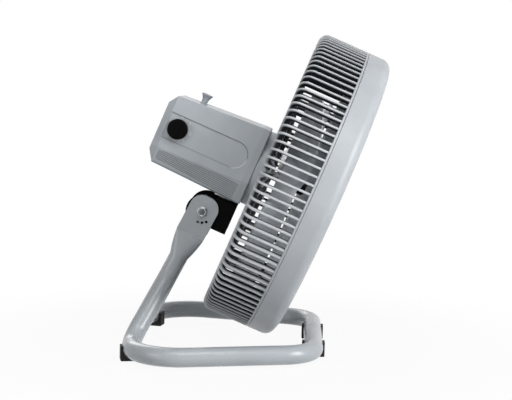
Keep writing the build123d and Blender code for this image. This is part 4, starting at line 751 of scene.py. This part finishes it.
def paper_floor(name, colour):
    """Pale floor: it takes the soft shadow near the object and is plain white to the eye."""
    material, tree, shader, place = blank_material(name)
    shader.inputs["Base Color"].default_value = linear(colour)
    shader.inputs["Roughness"].default_value = 0.9
    shader.inputs["Specular IOR Level"].default_value = 0.1
    # the lit floor shows only near the object, so that the shadow stays and the rest is white
    reach = add_node(tree, "ShaderNodeVectorMath", {"operation": "LENGTH"}, _0=place)
    away = add_node(tree, "ShaderNodeMapRange", {"interpolation_type": "SMOOTHSTEP"},
                    Value=reach.outputs["Value"], From_Min=FLOOR_FADE[0],
                    From_Max=FLOOR_FADE[1], To_Min=FLOOR_GLOW, To_Max=1.0)
    share = add_node(tree, "ShaderNodeMath", {"operation": "MULTIPLY"},
                     _0=seen_by_eye(tree), _1=away.outputs[0])
    glow = add_node(tree, "ShaderNodeEmission", Color=(1, 1, 1, 1), Strength=1.0)
    both = add_node(tree, "ShaderNodeMixShader", _0=share.outputs[0],
                    _1=shader.outputs[0], _2=glow.outputs[0])
    tree.links.new(both.outputs[0], tree.nodes["Material Output"].inputs["Surface"])
    return material


clear_selection()
bpy.ops.mesh.primitive_plane_add(size=FLOOR_SIZE, location=(0, 0, -FLOOR_DROP))
floor = bpy.context.object
floor.name = "studio_floor"
floor.data.materials.append(paper_floor("white_paper_floor", "#D8D8D8"))

world = bpy.data.worlds.new("studio_white")
bpy.context.scene.world = world
world.use_nodes = True
sky = world.node_tree
ground = sky.nodes["Background"]
ground.inputs["Color"].default_value = (1, 1, 1, 1)
# lights the object at a low level and is plain white to the eye
brightness = add_node(sky, "ShaderNodeMapRange", Value=seen_by_eye(sky),
                      To_Min=ROOM_LIGHT, To_Max=1.0)
sky.links.new(brightness.outputs[0], ground.inputs["Strength"])


def softbox(name, place, aim, width, height, power):
    """Rectangular soft light that faces the aim point."""
    light = bpy.data.lights.new(name, "AREA")
    light.shape = "RECTANGLE"
    light.size = width
    light.size_y = height
    light.energy = power
    holder = bpy.data.objects.new(name, light)
    bpy.context.scene.collection.objects.link(holder)
    holder.location = place
    holder.rotation_euler = (Vector(aim) - Vector(place)).to_track_quat("-Z", "Y").to_euler()


for lamp in SOFTBOXES:
    softbox(*lamp)

# The camera looks from the knob's side, a little from the front and above, slightly rolled.
look = Vector((-sin(CAMERA_TURN) * cos(CAMERA_RISE), cos(CAMERA_TURN) * cos(CAMERA_RISE),
               -sin(CAMERA_RISE)))
level_right = look.cross(Vector((0, 0, 1))).normalized()
level_up = level_right.cross(look)
right = level_right * cos(CAMERA_ROLL) + level_up * sin(CAMERA_ROLL)
over = right.cross(look)
aim = pivot + right * ((PHOTO_SIZE[0] / 2 - PIVOT_PIXEL[0]) / PIXELS_PER_METRE)
aim += over * ((PIVOT_PIXEL[1] - PHOTO_SIZE[1] / 2) / PIXELS_PER_METRE)
lens = bpy.data.cameras.new("photo_camera")
lens.sensor_width = SENSOR_WIDTH
lens.lens = PIXELS_PER_METRE * CAMERA_DISTANCE / PHOTO_SIZE[0] * SENSOR_WIDTH
lens.clip_end = 100
camera = bpy.data.objects.new("photo_camera", lens)
bpy.context.scene.collection.objects.link(camera)
camera.matrix_world = Matrix((
    (right.x, over.x, -look.x, 0), (right.y, over.y, -look.y, 0),
    (right.z, over.z, -look.z, 0), (0, 0, 0, 1)))
camera.location = aim - look * CAMERA_DISTANCE
bpy.context.scene.camera = camera
bpy.context.scene.view_settings.view_transform = "Standard"
